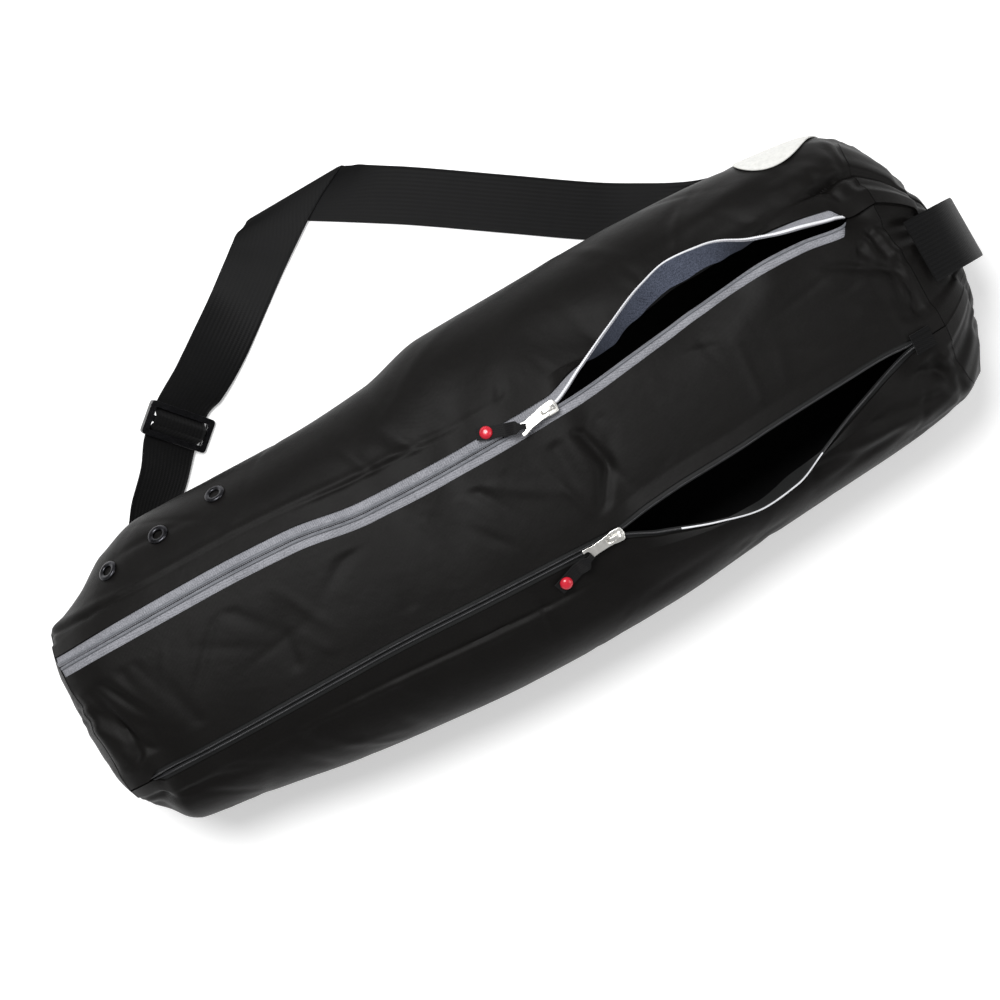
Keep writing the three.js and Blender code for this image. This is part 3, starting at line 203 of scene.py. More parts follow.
def smooth_body(share, angle):
    """A superellipse: across over the half width, and up over the height, each to a power, sum to 1."""
    share, angle = np.broadcast_arrays(np.asarray(share, float), np.asarray(angle, float))
    x = lengthwise(share, angle)
    at = x / HALF_LENGTH
    power = column(SECTIONS, "square", at)
    top = column(SECTIONS, "top", at) * BAG_HEIGHT
    keel = column(SECTIONS, "keel", at) * BAG_HEIGHT
    middle = top * WIDEST_LEVEL
    across, up = np.cos(angle), np.sin(angle)
    side = np.where(across > 0, column(SECTIONS, "strap", at), column(SECTIONS, "pocket", at))
    tall = np.where(up > 0, top - middle, middle - keel)
    radius = ((np.abs(across) / (side * HALF_WIDTH)) ** power + (np.abs(up) / tall) ** power) ** (-1 / power)
    return np.stack([x, radius * across, np.maximum(0, middle + radius * up)], -1)


# %% [markdown]
# ## Folds, seams and puckers
# Nylon holds shallow folds, a groove where two panels are sewn, and small puckers beside a
# seam. A photograph's shading could be copied as a texture, but then the light on it would be
# fixed. So each fold is a soft bell-shaped valley or ridge that moves the surface along its
# normal, and small random creases come from a seeded generator.

# %% Depth of the folds
SMALL = np.random.default_rng(12)
CREASE_COUNT = 210
CREASES = dict(
    x=np.concatenate([SMALL.uniform(-350, 340, 140), SMALL.normal(300, 34, 45), SMALL.normal(-330, 24, 25)]),
    girth=np.radians(SMALL.uniform(2, 178, CREASE_COUNT)),
    long=SMALL.uniform(12, 44, CREASE_COUNT),
    wide=SMALL.uniform(2.6, 6.0, CREASE_COUNT),
    turn=np.radians(np.concatenate([SMALL.normal(70, 45, 140), SMALL.normal(20, 30, 70)])),
    depth=SMALL.uniform(-0.8, 1.1, CREASE_COUNT),
)
NAMED_CREASES = [
    (57, 87, 24, 4.4, 77, 3.8), (53, 109, 22, 4.4, 123, 3.3), (66, 92, 26, 6.0, 84, -1.2),
    (28, 104, 20, 3.6, 74, -0.9), (-40, 62, 42, 5.0, 62, 2.4), (-58, 56, 34, 5.5, 58, -1.5),
    (12, 56, 26, 4.0, 118, 1.8), (64, 60, 20, 3.5, 70, 1.6), (-84, 50, 40, 5.0, 66, 1.6),
    (-120, 72, 34, 5.0, 150, 1.4), (70, 130, 26, 4.0, 140, 1.6), (96, 139, 24, 4.0, 35, 1.5),
    (20, 128, 28, 4.5, 160, 1.4), (-40, 134, 34, 5.0, 20, 1.3), (-250, 132, 36, 5.0, 168, 1.6),
    (-300, 140, 30, 4.5, 12, 1.8), (-322, 108, 26, 4.0, 62, 2.6), (-330, 122, 22, 4.0, 100, 2.4),
    (-310, 128, 26, 4.0, 20, 1.8), (-336, 92, 24, 4.0, 78, 1.8), (292, 74, 26, 4.0, 64, 2.2),
    (303, 62, 26, 3.8, 96, 2.8), (296, 50, 30, 4.2, 72, 2.6), (306, 84, 24, 3.6, 84, 2.6),
    (298, 98, 26, 4.0, 104, 2.4), (308, 108, 22, 3.6, 86, 2.8), (296, 120, 26, 4.2, 118, 2.4),
    (284, 134, 28, 4.4, 40, 2.2), (262, 146, 34, 4.8, 10, 2.0), (300, 140, 26, 4.2, 80, 2.6),
    (270, 62, 26, 4.0, 20, 1.7), (244, 48, 34, 5.0, 160, 2.0), (190, 50, 30, 4.6, 24, 1.6),
    (150, 52, 24, 4.2, 60, 1.5), (312, 40, 30, 4.4, 84, 2.8), (318, 26, 30, 4.4, 96, 2.4),
    (312, 152, 30, 4.4, 98, 2.6), (240, 154, 34, 5.0, 172, 1.8), (200, 150, 30, 5.0, 12, 1.5),
    (254, 41, 30, 3.0, 174, 6.2), (296, 38, 26, 2.8, 172, 6.6), (276, 32, 40, 8.0, 174, -2.2),
    (210, 36, 34, 9.0, 2, 4.2), (222, 27, 44, 10, 170, -2.4), (280, 49, 22, 4.0, 40, 2.8),
    (268, 46, 34, 4.6, 174, -1.8), (286, 78, 26, 3.2, 30, 2.4), (304, 116, 20, 3.6, 80, 3.4),
    (-328, 100, 24, 3.6, 84, 3.0), (-318, 78, 26, 4.0, 60, 2.4), (-326, 136, 24, 3.8, 120, 3.0),
]
STRAP_GROOVE = table("at line", """
-1.00 0.580
-0.86 0.564
-0.70 0.534
-0.55 0.529
-0.39 0.504
-0.22 0.470
-0.03 0.429
 0.10 0.420
 1.00 0.420
""")
POCKET_GROOVE = table("at line", """
-1.00 -0.400
-0.76 -0.458
-0.55 -0.511
-0.38 -0.548
-0.17 -0.598
 0.02 -0.630
 1.00 -0.640
""")


def bell(x, around, rows):
    """Sum of bells: depth times e to minus the squared distance, in each fold's own turned axes."""
    depth = np.zeros_like(x)
    for along0, around0, long, wide, turn, deep in rows:
        along, off = x - along0, around - around0
        u = (along * math.cos(turn) + off * math.sin(turn)) / long
        v = (off * math.cos(turn) - along * math.sin(turn)) / wide
        depth += deep * np.exp(-u * u - v * v)
    return depth


def fold_depth(point, angle, fine=True):
    x, y, z = point[..., 0], point[..., 1], point[..., 2]
    radius = np.hypot(y, z - WIDEST_LEVEL * BAG_HEIGHT)
    depth = np.zeros_like(x)
    for k in range(len(FOLDS["at"])):
        girth = math.radians(FOLDS["girth"][k])
        depth += bell(x, (angle - girth) * radius, [(
            FOLDS["at"][k] * HALF_LENGTH, 0.0, FOLDS["long"][k] * HALF_WIDTH,
            FOLDS["wide"][k] * HALF_WIDTH, math.radians(FOLDS["turn"][k]),
            FOLDS["depth"][k] * BAG_HEIGHT)])
    if not fine:
        return depth
    for k in range(CREASE_COUNT):
        depth += bell(x, (angle - CREASES["girth"][k]) * radius, [(
            CREASES["x"][k], 0.0, CREASES["long"][k], CREASES["wide"][k],
            CREASES["turn"][k], CREASES["depth"][k])])
    for along, girth, long, wide, turn, deep in NAMED_CREASES:
        depth += bell(x, (angle - math.radians(girth)) * radius, [(
            along, 0.0, long, wide, math.radians(turn), deep)])
    upper = np.clip(np.sin(angle) * 4, 0, 1)
    for rows, fade_from, fade_to in ((STRAP_GROOVE, -10, 60), (POCKET_GROOVE, -40, 30)):
        off = y - column(rows, "line", x / HALF_LENGTH) * HALF_WIDTH
        fade = upper * np.clip((fade_to - x) / (fade_to - fade_from), 0, 1)
        outside = np.sign(rows["line"][0]) * off
        depth += fade * (1.5 * np.exp(-(off / 1.7) ** 2) - 0.9 * np.exp(-((outside - 4.2) / 2.8) ** 2))
        pucker = np.sin(x / 3.4 + 2.2 * np.sin(x / 23.0)) * np.exp(-(off / 9.0) ** 2)
        depth += 0.2 * fade * pucker
    for end, side in ((0.0, -1), (1.0, 1)):
        off = side * (lengthwise(end, angle) - x)
        gather = np.sin(angle * 21 + 2.5 * np.sin(angle * 5)) * np.exp(-(off / 16) ** 2)
        depth += upper * (2.0 * np.exp(-(off / 3.2) ** 2) + 0.8 * gather)
    return depth


def normal_of(surface, share, angle, step=0.002):
    """The cross product of the two directions in which the surface runs."""
    along = surface(np.minimum(1, share + step), angle) - surface(np.maximum(0, share - step), angle)
    round_ = surface(share, angle + step) - surface(share, angle - step)
    return unit(np.cross(round_, along))


def cad_face(share, angle):
    """The outer face with its main folds: the smooth body moved along its normal."""
    point = smooth_body(share, angle)
    depth = fold_depth(point, angle, fine=False)
    return point - normal_of(smooth_body, share, angle) * depth[..., None]


def outer_face(share, angle):
    """The outer face with every fold, crease, groove and pucker."""
    point = smooth_body(share, angle)
    depth = fold_depth(point, angle)
    return point - normal_of(smooth_body, share, angle) * depth[..., None]


probe = outer_face(np.linspace(0, 1, 5), np.full(5, math.pi / 2))
print("top line heights", np.round(probe[:, 2], 1))

# %% [markdown]
# ## Lips of the zips
# Along each zip the panel's edge is a lip with a zip tape sewn under it. Where the zip is
# open the lip has flopped outwards. The lip is a fold of small radius and then a straight run,
# in the plane across the bag, and its root is moved round the body until its free edge lies
# on the line that the zip's table gives.

# %% Lips
def smoothstep(x, low, high):
    t = np.clip((x - low) / (high - low), 0, 1)
    return t * t * (3 - 2 * t)


def zip_line(zip_, x):
    return column(zip_["rows"], "line", x / HALF_LENGTH) * HALF_WIDTH


def lip_point(lip, run, depth):
    """A place on a lip: round the fold for its length, then straight on, depth inwards."""
    curl = lip["curl"][:, None]
    arc = LIP_FOLD_RADIUS * curl
    turned = np.minimum(run, arc) / LIP_FOLD_RADIUS
    reach = np.maximum(0, run - arc)
    radius = LIP_FOLD_RADIUS + depth
    inward = radius * np.sin(turned) + reach * np.cos(turned)
    outward = LIP_FOLD_RADIUS - radius * np.cos(turned) + reach * np.sin(turned)
    return (lip["root"][:, None, :] + inward[..., None] * lip["inward"][:, None, :]
            + outward[..., None] * lip["outward"][:, None, :])


def lip_frame(zip_, side, share, angle):
    at = lengthwise(share, angle) / HALF_LENGTH
    outward = normal_of(cad_face, share, angle, 0.004)
    outward[:, 0] = 0
    outward = unit(outward)
    inward = np.stack([0 * at, -side * outward[:, 2], side * outward[:, 1]], -1)
    curl = np.radians(column(zip_["rows"], "curl_up" if side > 0 else "curl_down", at))
    x = lengthwise(share, math.pi / 2)
    past = np.maximum(zip_["start"] - x, x - zip_["end"]) / ZIP_CLOSING
    open_share = 1 - np.clip(past, 0, 1)
    gap = CLOSED_GAP + (SEAM_GAP - CLOSED_GAP) * open_share
    shown = gap + (zip_["shown"] - gap) * open_share
    start = np.maximum(LIP_FOLD_RADIUS * curl, LIP_ROOT)
    edge = start + TAPE_SEWN
    return dict(angle=angle, curl=curl, start=start, edge=edge, free=edge + shown, gap=gap,
                inward=inward, outward=outward, root=cad_face(share, angle), share=share)


def lips(name, side, share):
    """One lip at each share, its root moved until its free edge meets the zip's line."""
    zip_ = ZIPS[name]
    angle = np.full_like(share, math.pi / 2)
    for _ in range(10):
        lip = lip_frame(zip_, side, share, angle)
        at = lip["root"][:, 0] / HALF_LENGTH
        off = side * column(zip_["rows"], "up" if side > 0 else "down", at)
        wanted = (column(zip_["rows"], "line", at) + off) * HALF_WIDTH + side * lip["gap"]
        free = lip_point(lip, lip["free"][:, None], TAPE_MIDDLE)[:, 0, 1]
        radius = np.hypot(lip["root"][:, 1], lip["root"][:, 2] - WIDEST_LEVEL * BAG_HEIGHT)
        slope = np.maximum(0.3, np.abs(lip["inward"][:, 1]))
        angle = angle + (free - wanted) / (radius * slope)
    return lip


# %% [markdown]
# ## From grids to meshes
# Every wall is two grids of points, its outer and its inner face, closed round the rim. The
# whole mesh is put together as arrays. Each corner keeps two lengths in metres, along and
# across the cloth, as its UV map, so a weave stays the same size all over.

# %% Mesh helpers
PIECES = {}


def mesh_object(name, points, quads, uvs=None, slots=None, smooth=True, sharp=None):
    """Points in millimetres and faces of four corners as a Blender object in metres."""
    mesh = bpy.data.meshes.new(name)
    mesh.vertices.add(len(points))
    mesh.vertices.foreach_set("co", (np.asarray(points, float) * 0.001).ravel())
    quads = np.asarray(quads, np.int32)
    mesh.loops.add(quads.size)
    mesh.loops.foreach_set("vertex_index", quads.ravel())
    mesh.polygons.add(len(quads))
    mesh.polygons.foreach_set("loop_start", np.arange(len(quads), dtype=np.int32) * 4)
    if slots is not None:
        mesh.polygons.foreach_set("material_index", np.asarray(slots, np.int32))
    mesh.update(calc_edges=True)
    if uvs is not None:
        layer = mesh.uv_layers.new(name="cloth")
        layer.data.foreach_set("uv", (np.asarray(uvs, float)[quads.ravel()] * 0.001).ravel())
    mesh.validate()
    mesh.polygons.foreach_set("use_smooth", np.full(len(mesh.polygons), smooth))
    if sharp is not None:
        mesh.set_sharp_from_angle(angle=math.radians(sharp))
    obj = bpy.data.objects.new(name, mesh)
    bpy.context.collection.objects.link(obj)
    PIECES[name] = obj
    print(name, len(quads), "faces")
    return obj


def grid_quads(rows, columns, start=0, wrap=False):
    """Corners of the faces of a grid; wrap joins its last column to its first."""
    i, j = np.meshgrid(np.arange(rows - 1), np.arange(columns if wrap else columns - 1), indexing="ij")
    k = (j + 1) % columns
    corners = [i * columns + j, i * columns + k, (i + 1) * columns + k, (i + 1) * columns + j]
    return start + np.stack(corners, -1).reshape(-1, 4)


def lengths(grid):
    """Run along the rows and across the columns, measured on the grid, as a UV map."""
    down = np.linalg.norm(np.diff(grid, axis=0), axis=-1).mean(1)
    side = np.linalg.norm(np.diff(grid, axis=1), axis=-1)
    u = np.concatenate([[0], np.cumsum(down)])[:, None] + np.zeros(grid.shape[1])
    v = np.concatenate([np.zeros((len(grid), 1)), np.cumsum(side, axis=1)], axis=1)
    return np.stack([u, v], -1)


def grid_normals(grid):
    along = np.gradient(grid, axis=0)
    across = np.gradient(grid, axis=1)
    return unit(np.cross(across, along))


def wall(name, outer, inner, sharp=50):
    """A closed wall between two grids: both faces, and a strip round the rim."""
    rows, columns = outer.shape[:2]
    count = rows * columns
    front = grid_quads(rows, columns)
    back = grid_quads(rows, columns, count)[:, ::-1]
    i = np.arange(rows)
    j = np.arange(columns)
    rim = np.concatenate([i * columns, (rows - 1) * columns + j[1:],
                          (i * columns + columns - 1)[::-1][1:], j[::-1][1:-1]])
    after = np.roll(rim, -1)
    strip = np.stack([rim, after, after + count, rim + count], -1)
    quads = np.concatenate([front, back, strip])
    points = np.concatenate([outer.reshape(-1, 3), inner.reshape(-1, 3)])
    a, b, c = points[front[:, 0]], points[front[:, 1]], points[front[:, 2]]
    inwards = points[front[:, 0] + count] - a
    if np.sum(np.cross(b - a, c - a) * inwards) > 0:
        quads = quads[:, ::-1]
    uv = lengths(outer).reshape(-1, 2)
    slots = np.concatenate([np.zeros(len(front)), np.ones(len(back)), np.zeros(len(strip))])
    return mesh_object(name, points, quads, np.concatenate([uv, uv]), slots, sharp=sharp)


# %% [markdown]
# ## The four panels
# The real panels are cut flat and sewn edge to edge, and each has a turned edge along its zip.
# They could be one skin with lines painted on it, but the seams catch the light because the
# cloth ends there. So each panel is a wall of its own, with a hair's gap at the seams.

# %% Panels
STATIONS = np.linspace(0, 1, 350)
FADE_COLUMNS = 7


def body_grid(face, share, start, end, steps):
    """Angles evenly spread between two lines round the body, on one of its faces."""
    t = np.linspace(0, 1, steps)
    angle = start[:, None] + (end - start)[:, None] * t
    return face(share[:, None] + 0 * angle, angle)


def seat_on(grid, reference, width):
    """The folds fade out over the first columns, so that the grid meets the lip's root."""
    fade = np.clip(np.linspace(0, grid.shape[1] / width, grid.shape[1]), 0, 1)[None, :, None]
    return reference + (grid - reference) * fade * fade * (3 - 2 * fade)


def panel_grid(share, start, end, steps, lip_first=None, lip_last=None, lip_steps=14):
    """A stretch of the body with a lip at one or both of its sides."""
    grid = body_grid(outer_face, share, start, end, steps)
    plain = body_grid(cad_face, share, start, end, steps)
    if lip_first is not None:
        grid = seat_on(grid, plain, FADE_COLUMNS)
    if lip_last is not None:
        grid = seat_on(grid[:, ::-1], plain[:, ::-1], FADE_COLUMNS)[:, ::-1]
    parts = [grid]
    t = np.linspace(0, 1, lip_steps + 1)[1:]
    if lip_first is not None:
        parts.insert(0, lip_point(lip_first, lip_first["edge"][:, None] * t, 0.0)[:, ::-1])
    if lip_last is not None:
        parts.append(lip_point(lip_last, lip_last["edge"][:, None] * t, 0.0))
    return np.concatenate(parts, axis=1)


STRAP_LIP = lips("main", 1, STATIONS)
CENTRE_STRAP_LIP = lips("main", -1, STATIONS)
CENTRE_POCKET_LIP = lips("pocket", 1, STATIONS)
POCKET_LIP = lips("pocket", -1, STATIONS)
seam_step = SEAM_GAP / 2 / (0.8 * HALF_WIDTH)
even = np.ones_like(STATIONS)
GRIDS = {
    "strap_side_panel": panel_grid(STATIONS, (SIDE_SEAM + seam_step) * even, STRAP_LIP["angle"], 112,
                                   lip_last=STRAP_LIP, lip_steps=18),
    "centre_panel": panel_grid(STATIONS, CENTRE_STRAP_LIP["angle"], CENTRE_POCKET_LIP["angle"], 64,
                               lip_first=CENTRE_STRAP_LIP, lip_last=CENTRE_POCKET_LIP, lip_steps=8),
    "pocket_side_panel": panel_grid(STATIONS, POCKET_LIP["angle"], (math.pi - SIDE_SEAM - seam_step) * even,
                                    112, lip_first=POCKET_LIP, lip_steps=18),
    "back_panel": panel_grid(STATIONS, (math.pi - SIDE_SEAM + seam_step) * even,
                             (SIDE_SEAM + 2 * math.pi - seam_step) * even, 44),
}
for name, grid in GRIDS.items():
    wall(name, grid, grid - grid_normals(grid) * FABRIC)

# %% [markdown]
# ## The two ends
# Each end is a round panel sewn to the ends of the four others. A cap could be a flat disc,
# but a full bag swells at its ends, so the ring where the panels end shrinks towards its
# middle while it moves outwards by a rounded profile. A flange from it laps under the panels.

# %% End panels
FLANGE_DEPTH, FLANGE_THICKNESS, FLANGE_LAP = 3.2, 1.0, 3.0


def dome(ring, apex, side, size, depth):
    """The ring shrunk to size, out by one minus size to a power; depth is measured inwards."""
    low, high = ring[:, 2].min(), ring[:, 2].max()
    middle = np.array([0.0, (low + high) / 2])
    off = ring[:, 1:] - middle
    far = np.linalg.norm(off, axis=1)
    shrunk = size[:, None] * (1 - depth / far)[None, :]
    start = ring[:, 0] + side * SEAM_GAP
    x = apex - (apex - start)[None, :] * (size ** 2.6)[:, None]
    x = x - side * depth * (1 - size ** 8)[:, None]
    y = middle[0] + off[:, 0] * shrunk
    z = middle[1] + off[:, 1] * shrunk
    return np.stack([x, y, z], -1)


def end_folds(points, side):
    """Creases of an end: a few bells in the plane of the end, as depth along X."""
    y, z = points[..., 1], points[..., 2]
    right = [(19, 96, 26, 4.6, 1.0, 4.2), (-8, 84, 34, 6.0, 0.3, 3.6), (44, 70, 30, 5.4, 1.2, 4.4),
             (-46, 76, 26, 5.4, 2.0, 4.6), (62, 44, 24, 5, 1.9, 3.2), (-60, 44, 28, 6, 1.1, 3.4),
             (8, 32, 40, 7, 0.1, 2.6), (-30, 104, 22, 4.6, 0.6, 4.0), (38, 104, 20, 4.6, 2.5, 3.6),
             (70, 84, 24, 5, 2.2, 3.6), (-70, 84, 24, 5, 0.9, 3.6)]
    left = [(6, 92, 30, 6, 0.4, 1.8), (-34, 74, 24, 6, 1.3, 2.4), (40, 60, 28, 6, 1.8, 1.8),
            (-10, 44, 34, 7, 0.2, 1.4), (18, 108, 18, 4, 2.6, 1.6)]
    depth = np.zeros_like(y)
    for y0, z0, long, wide, turn, deep in right if side > 0 else left:
        depth += bell(y, z - z0, [(y0, 0.0, long, wide, turn, deep)])
    return depth


def closed_loops(name, loops, first, last):
    """A closed skin of rings, with each end drawn together on one point."""
    count = loops.shape[1]
    start = np.repeat(first[None, None, :], count, 1)
    finish = np.repeat(last[None, None, :], count, 1)
    grid = np.concatenate([start, loops, finish])
    rows = len(grid)
    quads = grid_quads(rows, count, wrap=True)
    points = grid.reshape(-1, 3)
    centre = points.mean(0)
    a, b, c = points[quads[:, 0]], points[quads[:, 1]], points[quads[:, 2]]
    volume = np.sum(np.cross(b - centre, c - centre) * (a - centre))
    if volume < 0:
        quads = quads[:, ::-1]
    uv = np.stack([points[:, 1], points[:, 2]], -1)
    obj = mesh_object(name, points, quads, uv, sharp=50)
    weld(obj)
    return obj


def weld(obj, distance=1e-5):
    """Merges the doubles of a finished mesh, so that its poles are closed."""
    work = bmesh.new()
    work.from_mesh(obj.data)
    bmesh.ops.remove_doubles(work, verts=work.verts, dist=distance)
    bmesh.ops.recalc_face_normals(work, faces=work.faces)
    work.to_mesh(obj.data)
    work.free()
    obj.data.update()


def end_ring(index):
    """The outer line of all four panels at one end of the bag, in order round it."""
    order = ["strap_side_panel", "centre_panel", "pocket_side_panel", "back_panel"]
    return np.concatenate([GRIDS[name][index] for name in order])


for name, index, side in (("left_end_panel", 0, -1), ("right_end_panel", -1, 1)):
    ring = end_ring(index)
    apex = side * HALF_LENGTH
    size = np.concatenate([[1.0, 0.993, 0.98], np.linspace(0.955, 0.06, 26)])
    outer = dome(ring, apex, side, size, 0.0)
    inner = dome(ring, apex, side, size, FABRIC)
    fade = (np.clip((1 - size) / 0.12, 0, 1) * np.clip(size / 0.2, 0, 1))[:, None]
    dent = end_folds(outer, side) * fade
    outer[..., 0] -= side * dent
    inner[..., 0] -= side * dent
    flange_depths = (FLANGE_DEPTH, FLANGE_DEPTH, FLANGE_DEPTH + FLANGE_THICKNESS)
    flange = np.concatenate([dome(ring, apex, side, np.ones(1), depth) for depth in flange_depths])
    flange[1:, :, 0] -= side * FLANGE_LAP
    loops = np.concatenate([outer[::-1], flange, inner[3:]])
    closed_loops(name, loops, outer[-1].mean(0), inner[-1].mean(0))

# %% [markdown]
# ## Zip tapes and coils
# A zip tape is a ribbed band sewn under the panel's edge. The main zip is put in with its
# coil underneath, so that a smooth darker line shows along its middle: the coil there is
# painted mid grey as shade in the crack where the tapes meet, and the tapes' undersides are
# painted darker as shade too. A painted stripe would be quicker, but where the zip hangs open its
# edge stands up and is seen from the side. So each tape is a thin wall along the lip, and each
# coil a rounded bar with a ripple for each turn.

# %% Tapes
def zip_shares(name, steps):
    zip_ = ZIPS[name]
    start = max(0.0006, share_at(zip_["start"] - ZIP_CLOSING + 1))
    return np.linspace(start, share_at(zip_["end"] + ZIP_CLOSING - 1), steps)


def tape(name, side, piece):
    """A band from the seam to the free edge, at its own depth under the panel."""
    lip = lips(name, side, zip_shares(name, 440))
    t = np.linspace(0, 1, 14)
    run = lip["start"][:, None] * (1 - t) + lip["free"][:, None] * t
    wave = 0.5 * np.sin(lip["root"][:, 0] / 4.6 + 1.5 * np.sin(lip["root"][:, 0] / 17.0))
    run[:, 0] += wave * (lip["curl"] > 0.3)
    outer = lip_point(lip, run, TAPE_TOP)
    inner = lip_point(lip, run, TAPE_TOP + TAPE_THICKNESS)
    return wall(piece, outer, inner)


def coil(name, side, piece, pitch):
    """A half-round bar on the tape's edge; its height ripples once for each turn of the coil."""
    zip_ = ZIPS[name]
    steps = int((zip_["end"] - max(zip_["start"], -345)) / pitch * 4)
    lip = lips(name, side, zip_shares(name, steps))
    x = lip["root"][:, 0]
    size = zip_["coil"]
    t = np.linspace(0, math.pi, 7)
    ripple = 0.86 + 0.14 * np.cos(2 * math.pi * x / pitch)[:, None]
    seat = TAPE_TOP - SEAM_GAP
    free = lip["free"] - SEAM_GAP + 1.2 * smoothstep(np.abs(lip["curl"]), 0.3, 1.1)
    run = (free - size / 2)[:, None] + size / 2 * np.cos(t)
    rise = seat - 0.72 * size * np.sin(t) * ripple
    run = np.concatenate([run, run[:, ::-1][:, 1:-1]], 1)
    rise = np.concatenate([rise, seat + 0.12 + 0 * rise[:, 1:-1]], 1)
    rings = lip_point(lip, run, rise)
    return closed_loops(piece, rings, rings[0].mean(0), rings[-1].mean(0))


for label in ("main", "pocket"):
    pitch = 1.5 if label == "main" else 1.2
    for place, side in (("upper", 1), ("lower", -1)):
        tape(label, side, f"{label}_zip_{place}_tape")
        coil(label, side, f"{label}_zip_{place}_coil", pitch)

# %% [markdown]
# ## Sliders, pull tabs, ribbons and buttons
# Each zip has a cast slider with a bridge, a forked metal tab hooked on it, a loop of black
# ribbon in the fork and a red domed button near the ribbon's end. The metal parts could be
# boxes with a bevel, but cast metal has no flat side that meets another squarely, so their
# outlines are carried up through a rounded profile.

# %% Places on the bag's upper side
def angle_over(share, y):
    """The angle round the section at which the body passes over a plan position."""
    share, y = np.broadcast_arrays(np.asarray(share, float), np.asarray(y, float))
    angle = np.full(share.shape, math.pi / 2)
    for _ in range(10):
        point = cad_face(share, angle)
        radius = np.hypot(point[..., 1], point[..., 2] - WIDEST_LEVEL * BAG_HEIGHT)
        angle = angle + (point[..., 1] - y) / (radius * np.maximum(0.35, np.abs(np.sin(angle))))
    return angle


def above(x, y, lift):
    share = share_at(np.asarray(x, float))
    angle = angle_over(share, y)
    return cad_face(share, angle) + normal_of(cad_face, share, angle, 0.004) * np.asarray(lift)[..., None]


def over_zip(zip_, x, y, lift):
    """Above the body, and raised by a bell-shaped rise over the closed lips of a zip."""
    off = (y - zip_line(zip_, x)) / 15
    return above(x, y, lift + zip_["rise"] * np.exp(-off * off))


def frame_at(origin, x_axis, z_axis):
    """Rows of a turned frame: x, y and z axes, and its origin last."""
    z = unit(z_axis)
    y = unit(np.cross(z, x_axis))
    return np.stack([np.cross(y, z), y, z, origin])


def placed(local, axes):
    """Points given in a turned frame, as points of the bag."""
    return local @ axes[:3] + axes[3]


def moulded(name, outline, low, high, round_=0.5, axes=None, crown=0.0):
    """An outline carried up by a rounded profile: in at the bottom and the top by round_."""
    t = np.linspace(0, math.pi / 2, 5)
    inset = np.concatenate([round_ * (1 - np.sin(t)), round_ * (1 - np.cos(t))])
    level = np.concatenate([low + round_ * (1 - np.cos(t)), high - round_ * (1 - np.sin(t))])
    middle = outline.mean(0)
    off = outline - middle
    far = np.linalg.norm(off, axis=1, keepdims=True)
    rings = []
    for step, z in zip(inset, level):
        flat = middle + off * (1 - step / far)
        rings.append(np.column_stack([flat, np.full(len(flat), z)]))
    for share in (0.66, 0.33):
        flat = middle + off * (1 - round_ / far) * share
        rings.append(np.column_stack([flat, np.full(len(flat), high + crown * (1 - share))]))
    rings = np.array(rings)
    if axes is not None:
        rings = placed(rings.reshape(-1, 3), axes).reshape(rings.shape)
    first, last = rings[0].mean(0), rings[-1].mean(0)
    return closed_loops(name, rings, first, last)


def joined(name, parts):
    """Several solids of one real piece as one object."""
    for part in parts[1:]:
        PIECES.pop(part.name, None)
    keep = parts[0]
    work = bmesh.new()
    for part in parts:
        work.from_mesh(part.data)
    mesh = bpy.data.meshes.new(name)
    work.to_mesh(mesh)
    work.free()
    mesh.polygons.foreach_set("use_smooth", np.full(len(mesh.polygons), True))
    mesh.set_sharp_from_angle(angle=math.radians(50))
    PIECES.pop(keep.name, None)
    for part in parts:
        bpy.data.objects.remove(part)
    obj = bpy.data.objects.new(name, mesh)
    bpy.context.collection.objects.link(obj)
    PIECES[name] = obj
    return obj


def bar_along(name, path, across, width, thickness):
    """A flat bar with rounded edges carried along a path; across is its width's direction."""
    t = np.linspace(0, 2 * math.pi, 20, endpoint=False)
    cx, cz = np.cos(t), np.sin(t)
    px = np.sign(cx) * np.abs(cx) ** 0.35 * width / 2
    pz = np.sign(cz) * np.abs(cz) ** 0.6 * thickness / 2
    tangent = unit(np.gradient(path, axis=0))
    normal = unit(np.cross(tangent, across))
    rings = (path[:, None] + across[:, None] * px[None, :, None] + normal[:, None] * pz[None, :, None])
    return closed_loops(name, rings, rings[0].mean(0), rings[-1].mean(0))


# %% One pull for each zip
SLIDER_LENGTH, SLIDER_WIDTH, SLIDER_HEIGHT = 15.0, 10.0, 5.0
TAB_LENGTH, TAB_WIDTH, TAB_THICKNESS = 24.0, 8.5, 1.4
RIBBON_WIDTH, RIBBON_LENGTH, RIBBON_THICKNESS, RIBBON_LAP = 9.0, 34.0, 1.4, 5.0
BUTTON_DIAMETER, BUTTON_HEIGHT = 9.2, 3.2
TAB_EYE, TAB_BAR, CLOTH_GAP = 4.6, 1.2, 0.8


def rounded_outline(corners, radius, steps=5):
    """Corners of a plan shape, each replaced by an arc that starts radius before it."""
    points = np.array(corners, float)
    before = unit(np.roll(points, 1, 0) - points)
    after = unit(np.roll(points, -1, 0) - points)
    out = []
    for corner, a, b in zip(points, before, after):
        for t in np.linspace(0, 1, steps):
            out.append(corner + a * radius * (1 - t) ** 2 + b * radius * t ** 2)
    return np.array(out)


